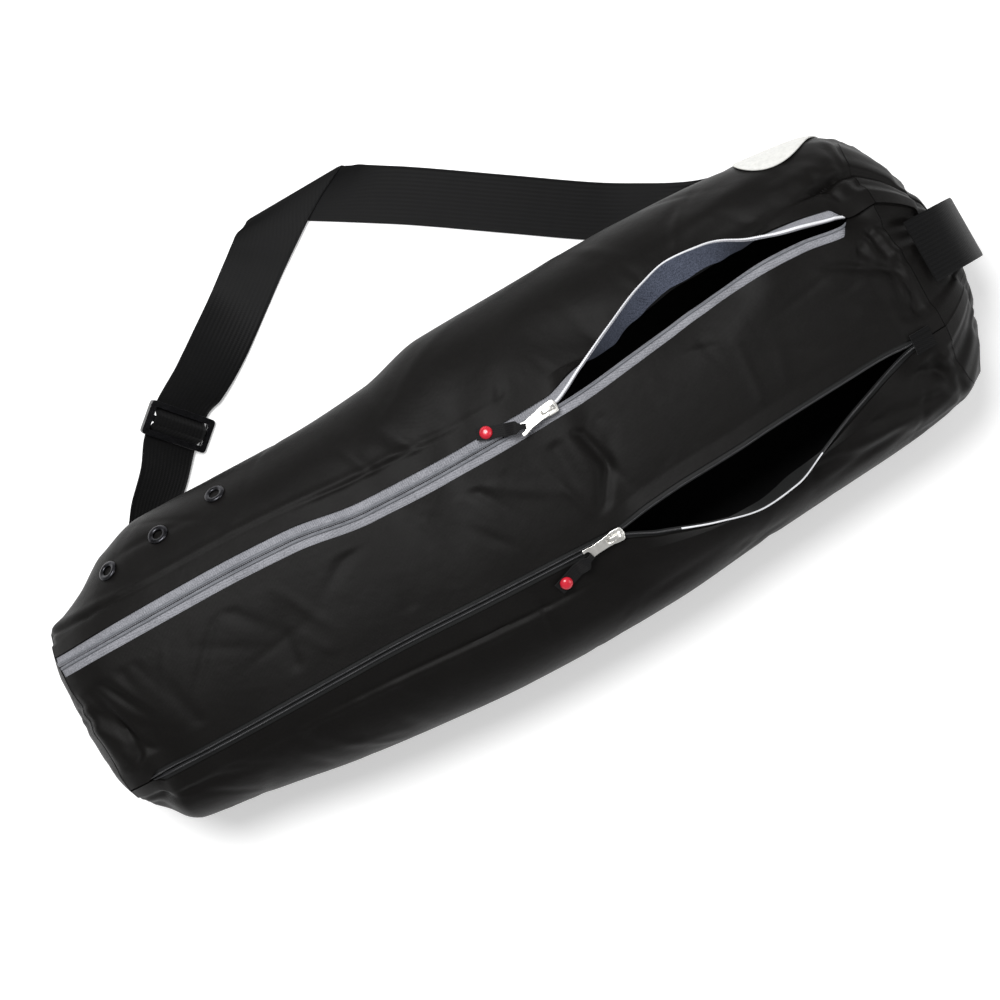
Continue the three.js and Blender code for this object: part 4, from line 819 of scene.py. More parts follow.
def slider(name, axes):
    """A plate narrower at its nose, a round head, and a bridge along its middle."""
    nose, half = SLIDER_WIDTH * 0.34, SLIDER_WIDTH / 2
    plan = rounded_outline([(-SLIDER_LENGTH / 2, -nose), (0, -half), (SLIDER_LENGTH / 2 - 1, -half),
                            (SLIDER_LENGTH / 2 + 0.3, 0), (SLIDER_LENGTH / 2 - 1, half), (0, half),
                            (-SLIDER_LENGTH / 2, nose)], 1.7)
    plate = moulded(name + "_plate", plan, 0.0, SLIDER_HEIGHT * 0.4, 0.6, axes, 0.2)
    t = np.linspace(0, math.pi, 24)
    arch = np.stack([-5.0 * np.cos(t), 0 * t, 1.4 + 2.9 * np.sin(t) ** 0.55], -1)
    across = np.repeat(np.array([[0, 1.0, 0]]), len(t), 0)
    arch = placed(arch, axes)
    bridge = bar_along(name + "_bridge", arch, across @ axes[:3], 3.0, 1.1)
    boss = np.stack([2.4 * np.cos(np.linspace(0, 2 * math.pi, 24, endpoint=False)) + 4.4,
                     2.4 * np.sin(np.linspace(0, 2 * math.pi, 24, endpoint=False))], -1)
    head = moulded(name + "_head", boss, 1.6, 3.0, 0.5, axes, 0.3)
    return joined(name, [plate, bridge, head])


def plate(name, loops, axes, low, thickness, edge, edge_steps):
    """A flat plate of an outline and its holes, with an edge rounded in a few steps."""
    work = bmesh.new()
    edges = []
    for loop in loops:
        points = placed(np.column_stack([loop, np.full(len(loop), low)]), axes) * 0.001
        verts = [work.verts.new(tuple(point)) for point in points]
        edges += [work.edges.new((verts[k], verts[(k + 1) % len(verts)])) for k in range(len(verts))]
    bmesh.ops.triangle_fill(work, use_beauty=True, edges=edges)
    extruded = bmesh.ops.extrude_face_region(work, geom=list(work.faces))
    top = [item for item in extruded["geom"] if isinstance(item, bmesh.types.BMVert)]
    bmesh.ops.translate(work, verts=top, vec=tuple(axes[2] * thickness * 0.001))
    bmesh.ops.recalc_face_normals(work, faces=work.faces)
    mesh = bpy.data.meshes.new(name)
    work.to_mesh(mesh)
    work.free()
    obj = bpy.data.objects.new(name, mesh)
    bpy.context.collection.objects.link(obj)
    bevel = obj.modifiers.new("rounded edge", "BEVEL")
    bevel.width, bevel.segments, bevel.limit_method = edge * 0.001, edge_steps, "ANGLE"
    PIECES[name] = obj
    print(name, len(mesh.polygons), "faces")
    return obj


def tab(name, axes):
    """A plate with an eye at its front and a fork behind."""
    half = TAB_WIDTH / 2
    front = TAB_EYE / 2 + TAB_BAR
    back = front - TAB_LENGTH
    body_back = -TAB_EYE / 2 - 1.4
    plan = [(front, -half + 0.8), (front, half - 0.8), (front - 2.0, half), (body_back, half - 0.5),
            (back + 7, half - 0.7), (back + 4, half), (back, half + 0.15), (back, half * 0.46),
            (back + 3.2, half * 0.46), (back + 4.6, 0), (back + 3.2, -half * 0.46), (back, -half * 0.46),
            (back, -half - 0.15), (back + 4, -half), (back + 7, -half + 0.7), (body_back, -half + 0.5),
            (front - 2.0, -half)]
    outline = rounded_outline(plan, 0.5, 3)
    eye = rounded_outline([(-TAB_EYE / 2, -TAB_EYE / 2), (TAB_EYE / 2, -TAB_EYE / 2),
                           (TAB_EYE / 2, TAB_EYE / 2), (-TAB_EYE / 2, TAB_EYE / 2)], 1.2, 4)
    return plate(name, (outline, eye), axes, 0.0, TAB_THICKNESS, 0.3, 2)


def ribbon(name, zip_, start, lift, turn):
    """A band that leaves the tab's top and settles on the cloth within nine millimetres."""
    ahead = np.array([math.cos(turn), math.sin(turn)])
    aside = np.array([-ahead[1], ahead[0]])
    run = np.linspace(0, RIBBON_LENGTH, 40)
    width = np.linspace(-0.5, 0.5, 13)[None, :] * RIBBON_WIDTH
    width = width * (0.4 + 0.6 * smoothstep(run, RIBBON_LAP - 1.5, RIBBON_LAP + 3))[:, None]
    low = lift + (CLOTH_GAP - lift) * smoothstep(run, RIBBON_LAP + 2, RIBBON_LAP + 11)
    place = start + run[:, None, None] * ahead + width[..., None] * aside
    low = low[:, None] + 0 * width
    inner = over_zip(zip_, place[..., 0], place[..., 1], low)
    ribs = 0.07 * np.cos(2 * math.pi * width / 1.5)
    outer = over_zip(zip_, place[..., 0], place[..., 1], low + RIBBON_THICKNESS + ribs)
    return wall(name, outer, inner)


def button(name, axes):
    """A dome: height falls as one minus the square of the radius, over a short straight rim."""
    radius = np.array([1.0, 1.0, 0.97, 0.88, 0.74, 0.56, 0.36, 0.16]) * BUTTON_DIAMETER / 2
    level = np.array([0, 0.22, 0.36, 0.56, 0.75, 0.9, 0.98, 1.0]) * BUTTON_HEIGHT
    turn = np.linspace(0, 2 * math.pi, 40, endpoint=False)
    rings = np.stack([radius[:, None] * np.cos(turn), radius[:, None] * np.sin(turn),
                      level[:, None] + 0 * turn], -1)
    rings = placed(rings.reshape(-1, 3), axes).reshape(rings.shape)
    return closed_loops(name, rings, rings[0].mean(0), rings[-1].mean(0))


PULLS = {
    "main": dict(slider_at=43.0, tab_turn=-169.0, ribbon_turn=159.5),
    "pocket": dict(slider_at=40.0, tab_turn=-175.0, ribbon_turn=-160.6),
}
for label, pull in PULLS.items():
    zip_ = ZIPS[label]
    x = pull["slider_at"]
    behind = x - SLIDER_LENGTH
    seat = over_zip(zip_, np.array(x), zip_line(zip_, x), np.array(CLOTH_GAP + SEAM_GAP))
    ahead = seat - over_zip(zip_, np.array(behind), zip_line(zip_, behind), np.array(CLOTH_GAP))
    share = np.array(share_at(behind))
    angle = angle_over(share, zip_line(zip_, behind))
    normal = normal_of(cad_face, share, angle, 0.004)
    axes = frame_at(seat, ahead, normal)
    slider(f"{label}_slider", axes)
    yaw = math.radians(pull["tab_turn"]) - math.atan2(axes[0][1], axes[0][0]) - math.pi
    spin = np.array([[math.cos(yaw), math.sin(yaw), 0], [-math.sin(yaw), math.cos(yaw), 0], [0, 0, 1]])
    hinge = np.concatenate([spin @ axes[:3], [placed(np.array([-0.27 * SLIDER_LENGTH, 0,
                                                              0.44 * SLIDER_HEIGHT]), axes)]])
    tab(f"{label}_pull_tab", hinge)
    lap = TAB_EYE / 2 + TAB_BAR - TAB_LENGTH + RIBBON_LAP
    from_ = placed(np.array([lap, 0, TAB_THICKNESS + CLOTH_GAP]), hinge)
    lift = from_[2] - over_zip(zip_, from_[0], from_[1], np.array(0.0))[2]
    turn = math.radians(pull["ribbon_turn"])
    ribbon(f"{label}_pull_ribbon", zip_, from_[:2], lift, turn)
    at = from_[:2] + np.array([math.cos(turn), math.sin(turn)]) * (RIBBON_LENGTH - BUTTON_DIAMETER * 0.75)
    top = over_zip(zip_, at[0], at[1], np.array(2 * CLOTH_GAP + RIBBON_THICKNESS - 0.3))
    share = np.array(share_at(at[0]))
    out = normal_of(cad_face, share, angle_over(share, at[1]), 0.004)
    button(f"{label}_pull_button", frame_at(top, np.array([1.0, 0, 0]), out))

# %% [markdown]
# ## Small sewn and pressed trim
# A bit of webbing covers the end of the pocket zip, three eyelets are pressed through the
# strap side, and a round patch lies on it near the handle. The patch is bare. Each follows
# the body because its points are places on the body, lifted along the normal.

# %% End tab, eyelets and patch
x = np.linspace(288, 303, 16)
y = zip_line(ZIPS["pocket"], 295.5) + np.linspace(-7, 7, 15)
gx, gy = np.meshgrid(x, y, indexing="ij")
rise = 0.25 * np.exp(-((np.abs(gy - y.mean()) - 5.2) / 0.7) ** 2)
wall("pocket_zip_end_tab", over_zip(ZIPS["pocket"], gx, gy, SEAM_GAP + 1.2 - rise),
     over_zip(ZIPS["pocket"], gx, gy, SEAM_GAP + 0 * gx))

EYELET_DIAMETER, EYELET_BORE, EYELET_RIM, EYELET_WALL, EYELET_BARREL = 15.5, 7.5, 1.5, 0.7, 3.4
for number, (at, out) in enumerate(((-0.786, 0.722), (-0.664, 0.775), (-0.531, 0.800)), 1):
    share = np.array(share_at(at * HALF_LENGTH))
    angle = angle_over(share, out * HALF_WIDTH)
    axes = frame_at(cad_face(share, angle), np.array([1.0, 0, 0]), normal_of(cad_face, share, angle, 0.004))
    bore, rim = EYELET_BORE / 2, EYELET_DIAMETER / 2
    t = np.linspace(0, math.pi, 14)
    middle, half = (bore + rim) / 2, (rim - bore) / 2
    profile = np.stack([middle - half * np.cos(t), SEAM_GAP + EYELET_RIM * np.sin(t) ** 0.8], -1)
    outside = bore + EYELET_WALL
    barrel = np.array([[outside, SEAM_GAP], [outside, -EYELET_BARREL], [bore, -EYELET_BARREL]])
    profile = np.concatenate([profile, barrel])
    turn = np.linspace(0, 2 * math.pi, 48, endpoint=False)
    rings = np.stack([profile[:, None, 0] * np.cos(turn), profile[:, None, 0] * np.sin(turn),
                      profile[:, None, 1] + 0 * turn], -1)
    points = placed(rings.reshape(-1, 3), axes)
    count, rows = len(turn), len(profile)
    quads = grid_quads(rows, count, wrap=True)
    last = (rows - 1) * count
    j = np.arange(count)
    k = (j + 1) % count
    quads = np.concatenate([quads, np.stack([last + j, last + k, k, j], -1)])
    weld(mesh_object(f"eyelet_{number}", points, quads, points[:, :2], sharp=60))

PATCH_DIAMETER, PATCH_THICKNESS = 64.0, 1.2
radius = np.concatenate([np.linspace(0.05, 1, 22), np.linspace(1, 0.05, 22)]) * PATCH_DIAMETER / 2
lift = np.concatenate([np.full(21, CLOTH_GAP + PATCH_THICKNESS), [1.7, 1.0], np.full(21, CLOTH_GAP)])
turn = np.linspace(0, 2 * math.pi, 72, endpoint=False)
along = 0.805 * HALF_LENGTH + radius[:, None] * np.cos(turn)
angle = math.radians(7.0) + radius[:, None] * np.sin(turn) / (0.85 * HALF_WIDTH)
share = share_at(along, 0.0)
rings = cad_face(share, angle) + normal_of(cad_face, share, angle, 0.004) * lift[:, None, None]
closed_loops("round_patch", rings, rings[0].mean(0), rings[-1].mean(0))

# %% [markdown]
# ## The shoulder strap and its buckle
# The strap is one length of webbing: sewn low on the side near the handle, out over the
# floor, folded over on itself once, then up through a three-bar buckle and back to the other
# end. Webbing bends only across its width, so it is a run of rungs. At the fold the rungs lie
# along the fold line, which is why the two arms leave it at equal angles.

# %% Rungs of the strap
STRAP_WIDTH, STRAP_THICKNESS = 45.0, 1.8
HALF_STRAP = STRAP_WIDTH / 2
STRAP_IN = table("at out lift lean", """
-0.0830 2.1603 0      0
 0.0113 2.0023 0      0
 0.1582 1.7450 0      0
 0.2678 1.5344 0      0
 0.4426 1.2061 0      0
 0.5394 1.0458 0.0041 4
 0.6307 0.9160 0.0162 12
 0.7248 0.8400 0.0284 26
""")
STRAP_OUT = table("at out lift lean", """
-0.5281 1.3855 0.0284 40
-0.4398 1.5435 0.0108 22
-0.3444 1.7427 0      4
-0.3098 1.8168 0      0
-0.2490 1.9427 0.0054 0
-0.2158 2.0076 0.0142 0
-0.1217 2.1832 0.0142 0
""")
STRAP_PAST = table("at out lift lean", """
-0.6846 0.9740 0.0108 50
-0.6279 1.1260 0.0135 46
-0.5950 1.2252 0.0284 40
""")


def flat(turn):
    return np.array([math.cos(math.radians(turn)), math.sin(math.radians(turn)), 0.0])


def route(rows, xs, outer, slant):
    """Rungs along one table: its width is square to the route, less the slant, and leans."""
    rungs = []
    for x in xs:
        at = x / HALF_LENGTH
        y = column(rows, "out", at) * HALF_WIDTH
        lean = math.radians(column(rows, "lean", at))
        y_after = column(rows, "out", (x - 0.5) / HALF_LENGTH) * HALF_WIDTH
        y_before = column(rows, "out", (x + 0.5) / HALF_LENGTH) * HALF_WIDTH
        ahead = math.degrees(math.atan2(y_after - y_before, -1.0))
        skew = slant(x)
        half = flat(ahead - 90 - outer * skew) * math.cos(lean)
        half[2] = math.sin(lean)
        half = half * outer * HALF_STRAP / math.cos(math.radians(skew))
        low = STRAP_THICKNESS / 2 + column(rows, "lift", at) * BAG_HEIGHT
        rungs.append((np.array([x, y, low + math.sin(lean) * HALF_STRAP]), half))
    return rungs


def strap_seats(ats, outer):
    rungs = []
    for at in ats:
        share = np.array(share_at(at * HALF_LENGTH, 0.0))
        angle = np.array(math.radians(-26))
        normal = normal_of(cad_face, share, angle, 0.004)
        centre = cad_face(share, angle) + normal * (CLOTH_GAP + STRAP_THICKNESS / 2)
        along = cad_face(share, angle + 0.02) - cad_face(share, angle - 0.02)
        along[0] = 0
        rungs.append((centre, unit(along) * outer * HALF_STRAP))
    return rungs


FOLD_TURN, LEAD = 181.0, 148.5
fold_skew = FOLD_TURN - LEAD - 90
fold_half = HALF_STRAP / math.cos(math.radians(fold_skew))
fold_radius = (STRAP_THICKNESS + SEAM_GAP) / 2
fold_rungs = []
for turn in np.linspace(0, 180, 13):
    slip = fold_radius * math.radians(turn) * math.tan(math.radians(-fold_skew))
    centre = np.array([-0.0976 * HALF_LENGTH, 2.175 * HALF_WIDTH, STRAP_THICKNESS / 2 + fold_radius])
    centre = centre + flat(FOLD_TURN - 90) * fold_radius * math.sin(math.radians(turn))
    centre = centre + flat(FOLD_TURN) * slip
    centre[2] -= fold_radius * math.cos(math.radians(turn))
    fold_rungs.append((centre, -flat(FOLD_TURN) * fold_half))
fold_start, fold_end = fold_rungs[0][0][0], fold_rungs[-1][0][0]
SLANT_RUN = 72.0
BESIDE_FOLD = np.array([18, 36, 54, 72])


def slant_in(x):
    return -fold_skew * (1 - float(smoothstep(x, fold_start, fold_start + SLANT_RUN)))


def slant_out(x):
    return -fold_skew * float(smoothstep(x, fold_end - SLANT_RUN, fold_end))


BUCKLE_WIDTH, BUCKLE_LENGTH, BUCKLE_THICKNESS, BUCKLE_SLOT, BUCKLE_BAR = 27.0, 58.0, 3.4, 6.4, 5.0
BUCKLE_CORNER, STRAP_PLAY = 3.5, 1.0
buckle_lean = math.radians(40)
buckle_ahead = flat(221)
buckle_away = flat(131) * math.cos(buckle_lean) + np.array([0, 0, math.sin(buckle_lean)])
buckle_normal = unit(np.cross(buckle_away, buckle_ahead))
buckle_centre = np.array([-0.5615 * HALF_LENGTH, 1.3053 * HALF_WIDTH,
                          STRAP_THICKNESS / 2 + 0.0310 * BAG_HEIGHT + math.sin(buckle_lean) * HALF_STRAP])
over_bar = (BUCKLE_THICKNESS + STRAP_THICKNESS) / 2 + SEAM_GAP
bar_edge = BUCKLE_BAR / 2
thread_at = np.array([-BUCKLE_WIDTH / 2 - 2.5, -bar_edge - BUCKLE_SLOT + 0.7, -bar_edge - 0.7, 0,
                      bar_edge + 0.7, bar_edge + BUCKLE_SLOT - 0.7, BUCKLE_WIDTH / 2 + 2.5])
thread_side = np.array([-1, -1, 1, 1, 1, -1, -1]) * over_bar
threaded = [(buckle_centre + buckle_ahead * along + buckle_normal * side, -buckle_away * HALF_STRAP)
            for along, side in zip(thread_at, thread_side)]

rungs = [
    *strap_seats((0.832, 0.780), 1),
    *route(STRAP_IN, [262, 245, 228, 211, 195, 160, 100, *(fold_start + BESIDE_FOLD[::-1])], 1, slant_in),
    *fold_rungs,
    *route(STRAP_OUT, [*(fold_end - BESIDE_FOLD), -142, -160, -176], -1, slant_out),
    *threaded,
    *route(STRAP_PAST, [-230, -247], -1, lambda x: 0.0),
    *strap_seats((-0.780, -0.825), -1),
]


# %% Webbing along rungs
def smooth_rungs(centres, halves, step):
    """A cubic curve through the rungs with slopes that never swing past them, at even steps."""
    run = np.concatenate([[0], np.cumsum(np.linalg.norm(np.diff(centres, axis=0), axis=1))])
    fine = np.unique(np.concatenate([np.arange(0, run[-1], step), run]))
    rows = {"at": run}
    both = np.concatenate([centres, halves], 1)
    curves = []
    for values in both.T:
        rows["value"] = values
        curves.append(column(rows, "value", fine))
    curves = np.stack(curves, -1)
    return curves[:, :3], curves[:, 3:], fine


def webbing(name, centres, halves, thickness, step=2.0, columns=31):
    """A flat band on its rungs, with two woven edges a little thinner than its middle."""
    centre, half, run = smooth_rungs(np.array(centres), np.array(halves), step)
    tangent = np.gradient(centre, run, axis=0)
    normal = unit(np.cross(half, tangent))
    t = np.linspace(-1, 1, columns)
    edge = smoothstep(np.abs(t), 0.94, 1.0)
    thick = thickness / 2 * (1 - 0.45 * edge)
    middle = centre[:, None] + half[:, None] * t[None, :, None]
    outer = middle + normal[:, None] * thick[None, :, None]
    inner = middle - normal[:, None] * thick[None, :, None]
    return wall(name, outer, inner, sharp=70)


webbing("shoulder_strap", [c for c, h in rungs], [h for c, h in rungs], STRAP_THICKNESS)

# %% The buckle's plate with two slots
def ring_outline(x, y, corner):
    return rounded_outline([(x, -y), (x, y), (-x, y), (-x, -y)], corner, 6)


axes = np.stack([buckle_ahead, np.cross(buckle_normal, buckle_ahead), buckle_normal, buckle_centre])
outline = ring_outline(BUCKLE_WIDTH / 2, BUCKLE_LENGTH / 2, BUCKLE_CORNER)
slot = ring_outline(BUCKLE_SLOT / 2, HALF_STRAP + STRAP_PLAY, 1.0)
from_bar = np.array([bar_edge + BUCKLE_SLOT / 2, 0])
plate("strap_buckle", (outline, slot - from_bar, slot + from_bar), axes, -BUCKLE_THICKNESS / 2,
      BUCKLE_THICKNESS, 0.9, 3)

# %% The grab handle
HANDLE_LINE = table("out up", """
-2.200 0.906
-1.470 0.885
-0.594 0.845
 0.219 0.764
 0.781 0.649
 1.000 0.514
 0.940 0.378
 0.594 0.277
 0.030 0.203
-0.620 0.120
""")
HANDLE_WIDTH, HANDLE_THICKNESS, HANDLE_STANDOFF, HANDLE_AT = 48.0, 2.2, 16.0, 7.0
handle = np.stack([HALF_LENGTH + HANDLE_STANDOFF * HANDLE_LINE["out"], HANDLE_AT + 0 * HANDLE_LINE["up"],
                   BAG_HEIGHT * HANDLE_LINE["up"]], -1)
webbing("grab_handle", handle, np.repeat([[0, HANDLE_WIDTH / 2, 0]], len(handle), 0), HANDLE_THICKNESS, 1.5)

# %% [markdown]
# ## Finishes
# Every material is worked out from numbers, so that it stays the same at any distance. A woven
# cloth could be shown by a photograph of cloth, but here its threads are two sine waves along
# the UV map, in metres, and its uneven tone is noise. What changes over the surface goes only to
# base colour, roughness and bump.

# %% A small class for shader maths
class Wire:
    """A socket whose operators add Math nodes, so that 1 - mask is written as it is said."""

    def __init__(self, tree, socket):
        self.tree, self.socket = tree, socket

    def math(self, operation, *values):
        return node(self.tree, "ShaderNodeMath", dict(operation=operation), dict(enumerate(values)))

    def __add__(self, other):
        return self.math("ADD", self, other)

    def __sub__(self, other):
        return self.math("SUBTRACT", self, other)

    def __rsub__(self, other):
        return self.math("SUBTRACT", other, self)

    def __mul__(self, other):
        return self.math("MULTIPLY", self, other)

    __radd__ = __add__
    __rmul__ = __mul__

    def sine(self):
        return self.math("SINE", self)

    def clear(self, low, high):
        """Zero below low, one above high, and straight between them."""
        return node(self.tree, "ShaderNodeMapRange", {}, {0: self, 1: low, 2: high, 3: 0.0, 4: 1.0})


def node(tree, kind, settings, inputs, output=0):
    """Adds one node: its settings first, then the values or links of its sockets."""
    made = tree.nodes.new(kind)
    for name, value in settings.items():
        setattr(made, name, value)
    for key, value in inputs.items():
        if isinstance(value, Wire):
            tree.links.new(value.socket, made.inputs[key])
        else:
            made.inputs[key].default_value = value
    return Wire(tree, made.outputs[output])


def blend(tree, amount, low, high):
    """A colour between two: the Mix node's colour sockets are 6 and 7."""
    return node(tree, "ShaderNodeMix", dict(data_type="RGBA"), {0: amount, 6: low, 7: high}, 2)


def linear(red, green, blue):
    """A colour as a screen shows it, 0 to 255, as the linear light that the shader wants."""
    values = np.array([red, green, blue]) / 255
    light = np.where(values <= 0.04045, values / 12.92, ((values + 0.055) / 1.055) ** 2.4)
    return (*light.tolist(), 1.0)


def finish(name, roughness, metallic=0.0, specular=0.3, sheen=0.0, coat=0.0):
    """A Principled material: its numbers on its own sockets; returns it, its tree and shader."""
    material = bpy.data.materials.new(name)
    material.use_nodes = True
    tree = material.node_tree
    shader = tree.nodes["Principled BSDF"]
    shader.inputs["Roughness"].default_value = roughness
    shader.inputs["Metallic"].default_value = metallic
    shader.inputs["Specular IOR Level"].default_value = specular
    shader.inputs["Sheen Weight"].default_value = sheen
    shader.inputs["Coat Weight"].default_value = coat
    return material, tree, shader


def plug(tree, shader, **sockets):
    for name, wire in sockets.items():
        tree.links.new(wire.socket, shader.inputs[name.replace("_", " ")])


def cloth_run(tree):
    """The two lengths of the UV map, in metres."""
    uv = node(tree, "ShaderNodeUVMap", dict(uv_map="cloth"), {})
    split = tree.nodes.new("ShaderNodeSeparateXYZ")
    tree.links.new(uv.socket, split.inputs[0])
    return Wire(tree, split.outputs[0]), Wire(tree, split.outputs[1])


def object_noise(tree, scale, detail=2.0, rough=0.5):
    place = node(tree, "ShaderNodeTexCoord", {}, {}, 3)
    return node(tree, "ShaderNodeTexNoise", {}, {"Vector": place, "Scale": scale, "Detail": detail,
                                                 "Roughness": rough})


def bump(tree, height, strength, distance, after=None):
    sockets = {"Strength": strength, "Distance": distance, "Height": height}
    if after is not None:
        sockets["Normal"] = after
    return node(tree, "ShaderNodeBump", {}, sockets)


# %% Woven nylon of the panels
def woven(name, colour, light, pitch, roughness, sheen, weave=0.25, uneven=0.35, specular=0.25):
    """Threads at a pitch along both lengths, uneven tone, and soft wrinkles too small to model."""
    material, tree, shader = finish(name, roughness, specular=specular, sheen=sheen)
    shader.inputs["Sheen Roughness"].default_value = 0.45
    u, v = cloth_run(tree)
    turns = 2 * math.pi / pitch
    threads = (u * turns).sine() * (v * turns).sine()
    cloud = object_noise(tree, 26.0, 4.0, 0.6)
    fine = object_noise(tree, 900.0, 2.0, 0.6)
    tone = (cloud - 0.5) * uneven + (fine - 0.5) * 0.5 + threads * weave * 0.5 + 0.5
    plug(tree, shader, Base_Color=blend(tree, tone.clear(0.0, 1.0), colour, light))
    wrinkle = object_noise(tree, 60.0, 3.0, 0.55)
    soft = bump(tree, wrinkle, 0.22, 0.002)
    plug(tree, shader, Normal=bump(tree, threads + fine * 0.6, 0.22, 0.00018, soft))
    plug(tree, shader, Roughness=(cloud - 0.5) * 0.18 + roughness)
    return material


NYLON = woven("panel nylon", linear(7, 6, 6), linear(23, 22, 21), 0.0011, 0.48, 0.0, specular=0.09)
LINING = woven("inside face of the nylon", linear(8, 8, 9), linear(20, 20, 21), 0.0011, 0.72, 0.01)


# %% Webbing, with ribs along it and a fine twill
def webbing_finish(name, colour, light, rib, slant, roughness=0.6, specular=0.22):
    material, tree, shader = finish(name, roughness, specular=specular, sheen=0.05)
    u, v = cloth_run(tree)
    ribs = (v * (2 * math.pi / rib)).sine()
    twill = (u * (2 * math.pi / slant) + v * (2 * math.pi / slant)).sine()
    fine = object_noise(tree, 1300.0, 2.0, 0.6)
    cloud = object_noise(tree, 18.0, 3.0, 0.6)
    tone = ribs * 0.16 + twill * 0.2 + (fine - 0.5) * 0.6 + (cloud - 0.5) * 0.4 + 0.5
    plug(tree, shader, Base_Color=blend(tree, tone.clear(0.0, 1.0), colour, light))
    plug(tree, shader, Normal=bump(tree, ribs * 0.6 + twill * 0.5 + fine * 0.5, 0.35, 0.00025))
    return material


WEBBING = webbing_finish("black webbing", linear(5, 5, 5), linear(16, 16, 17), 0.0032, 0.0019, 0.5, 0.08)
RIBBON = webbing_finish("ribbed ribbon", linear(6, 6, 6), linear(24, 24, 25), 0.0015, 0.0011, 0.6, 0.12)


# %% Zip tapes and coils
def tape_finish(name, colour, light, rib, roughness=0.62, specular=0.2, speck=0.4):
    """A tape's fine cross ribs lean over like a twill, and its yarns of two tones make specks."""
    material, tree, shader = finish(name, roughness, specular=specular, sheen=0.04)
    u, v = cloth_run(tree)
    ribs = (u * (2 * math.pi / rib) + v * (2.2 * math.pi / rib)).sine()
    fine = object_noise(tree, 1500.0, 2.0, 0.6)
    cloud = object_noise(tree, 40.0, 3.0, 0.6)
    tone = ribs * 0.18 + (fine - 0.5) * speck * 1.6 + (cloud - 0.5) * 0.4 + 0.5
    plug(tree, shader, Base_Color=blend(tree, tone.clear(0.0, 1.0), colour, light))
    plug(tree, shader, Normal=bump(tree, ribs + fine * 0.8, 0.2, 0.0002))
    return material


GREY_TAPE = tape_finish("grey zip tape", linear(58, 59, 64), linear(168, 169, 175), 0.0016, 0.7, 0.12, 0.8)
# A darker, bluer copy of the grey tape for its underside, the face turned into the bag: painted shade.
GREY_TAPE_IN_PAINTED_SHADE = tape_finish("underside of the grey tape", linear(17, 19, 27), linear(90, 96, 112), 0.0014,
                         0.7, 0.1, 1.2)
BLACK_TAPE = tape_finish("black zip tape", linear(12, 13, 13), linear(36, 37, 37), 0.0014)
# The silver coil painted mid grey: painted shade in the crack where the closed tapes meet over it.
COIL_IN_PAINTED_SHADE = tape_finish("closed coil stripe", linear(76, 78, 84), linear(136, 138, 143), 0.0015, 0.5, 0.15)
# Pale silver: the open main coil's own colour, and also a painted highlight on the curled stretch of the
# black pocket coil.
SILVER_COIL_AND_PAINTED_HIGHLIGHT = tape_finish("open coil edge", linear(205, 206, 210), linear(240, 240, 244), 0.0015, 0.35, 0.45)
COIL_BLACK = tape_finish("black coil", linear(16, 16, 17), linear(42, 42, 45), 0.0012, 0.4, 0.4)


# %% Metal, plastic and the patch
def metal(name, colour, dark, roughness, scratch=0.25):
    material, tree, shader = finish(name, roughness, metallic=1.0, specular=0.5)
    cloud = object_noise(tree, 220.0, 4.0, 0.65)
    fine = object_noise(tree, 1800.0, 2.0, 0.5)
    plug(tree, shader, Base_Color=blend(tree, cloud.clear(0.35, 0.75), dark, colour))
    plug(tree, shader, Roughness=(cloud - 0.5) * scratch + roughness)
    plug(tree, shader, Normal=bump(tree, fine, 0.06, 0.0002))
    return material


SILVER = metal("silver zip metal", linear(246, 245, 241), linear(226, 224, 219), 0.34, 0.12)
DARK_METAL = metal("dark eyelet metal", linear(74, 74, 78), linear(38, 38, 40), 0.28)


def moulded_plastic(name, colour, light, roughness, coat=0.0):
    material, tree, shader = finish(name, roughness, specular=0.5, coat=coat)
    shader.inputs["Coat Roughness"].default_value = 0.12
    cloud = object_noise(tree, 300.0, 3.0, 0.6)
    plug(tree, shader, Base_Color=blend(tree, cloud.clear(0.3, 0.7), colour, light))
    plug(tree, shader, Roughness=(cloud - 0.5) * 0.12 + roughness)
    plug(tree, shader, Normal=bump(tree, cloud, 0.05, 0.0003))
    return material


RED = moulded_plastic("red button plastic", linear(176, 18, 38), linear(206, 32, 52), 0.3, 0.3)
GLOSS_BLACK = moulded_plastic("glossy black plastic", linear(12, 12, 13), linear(22, 22, 24), 0.2, 0.5)
PATCH = moulded_plastic("white patch", linear(206, 206, 202), linear(222, 222, 218), 0.5)
print("materials", len(bpy.data.materials))

# %% [markdown]
# ## What stands for what
# Each modelled piece takes the place of the frame's node of the same name and moves with the bag's
# only body. Each row below also names a finish of the part's record, which the code reads but does not use.

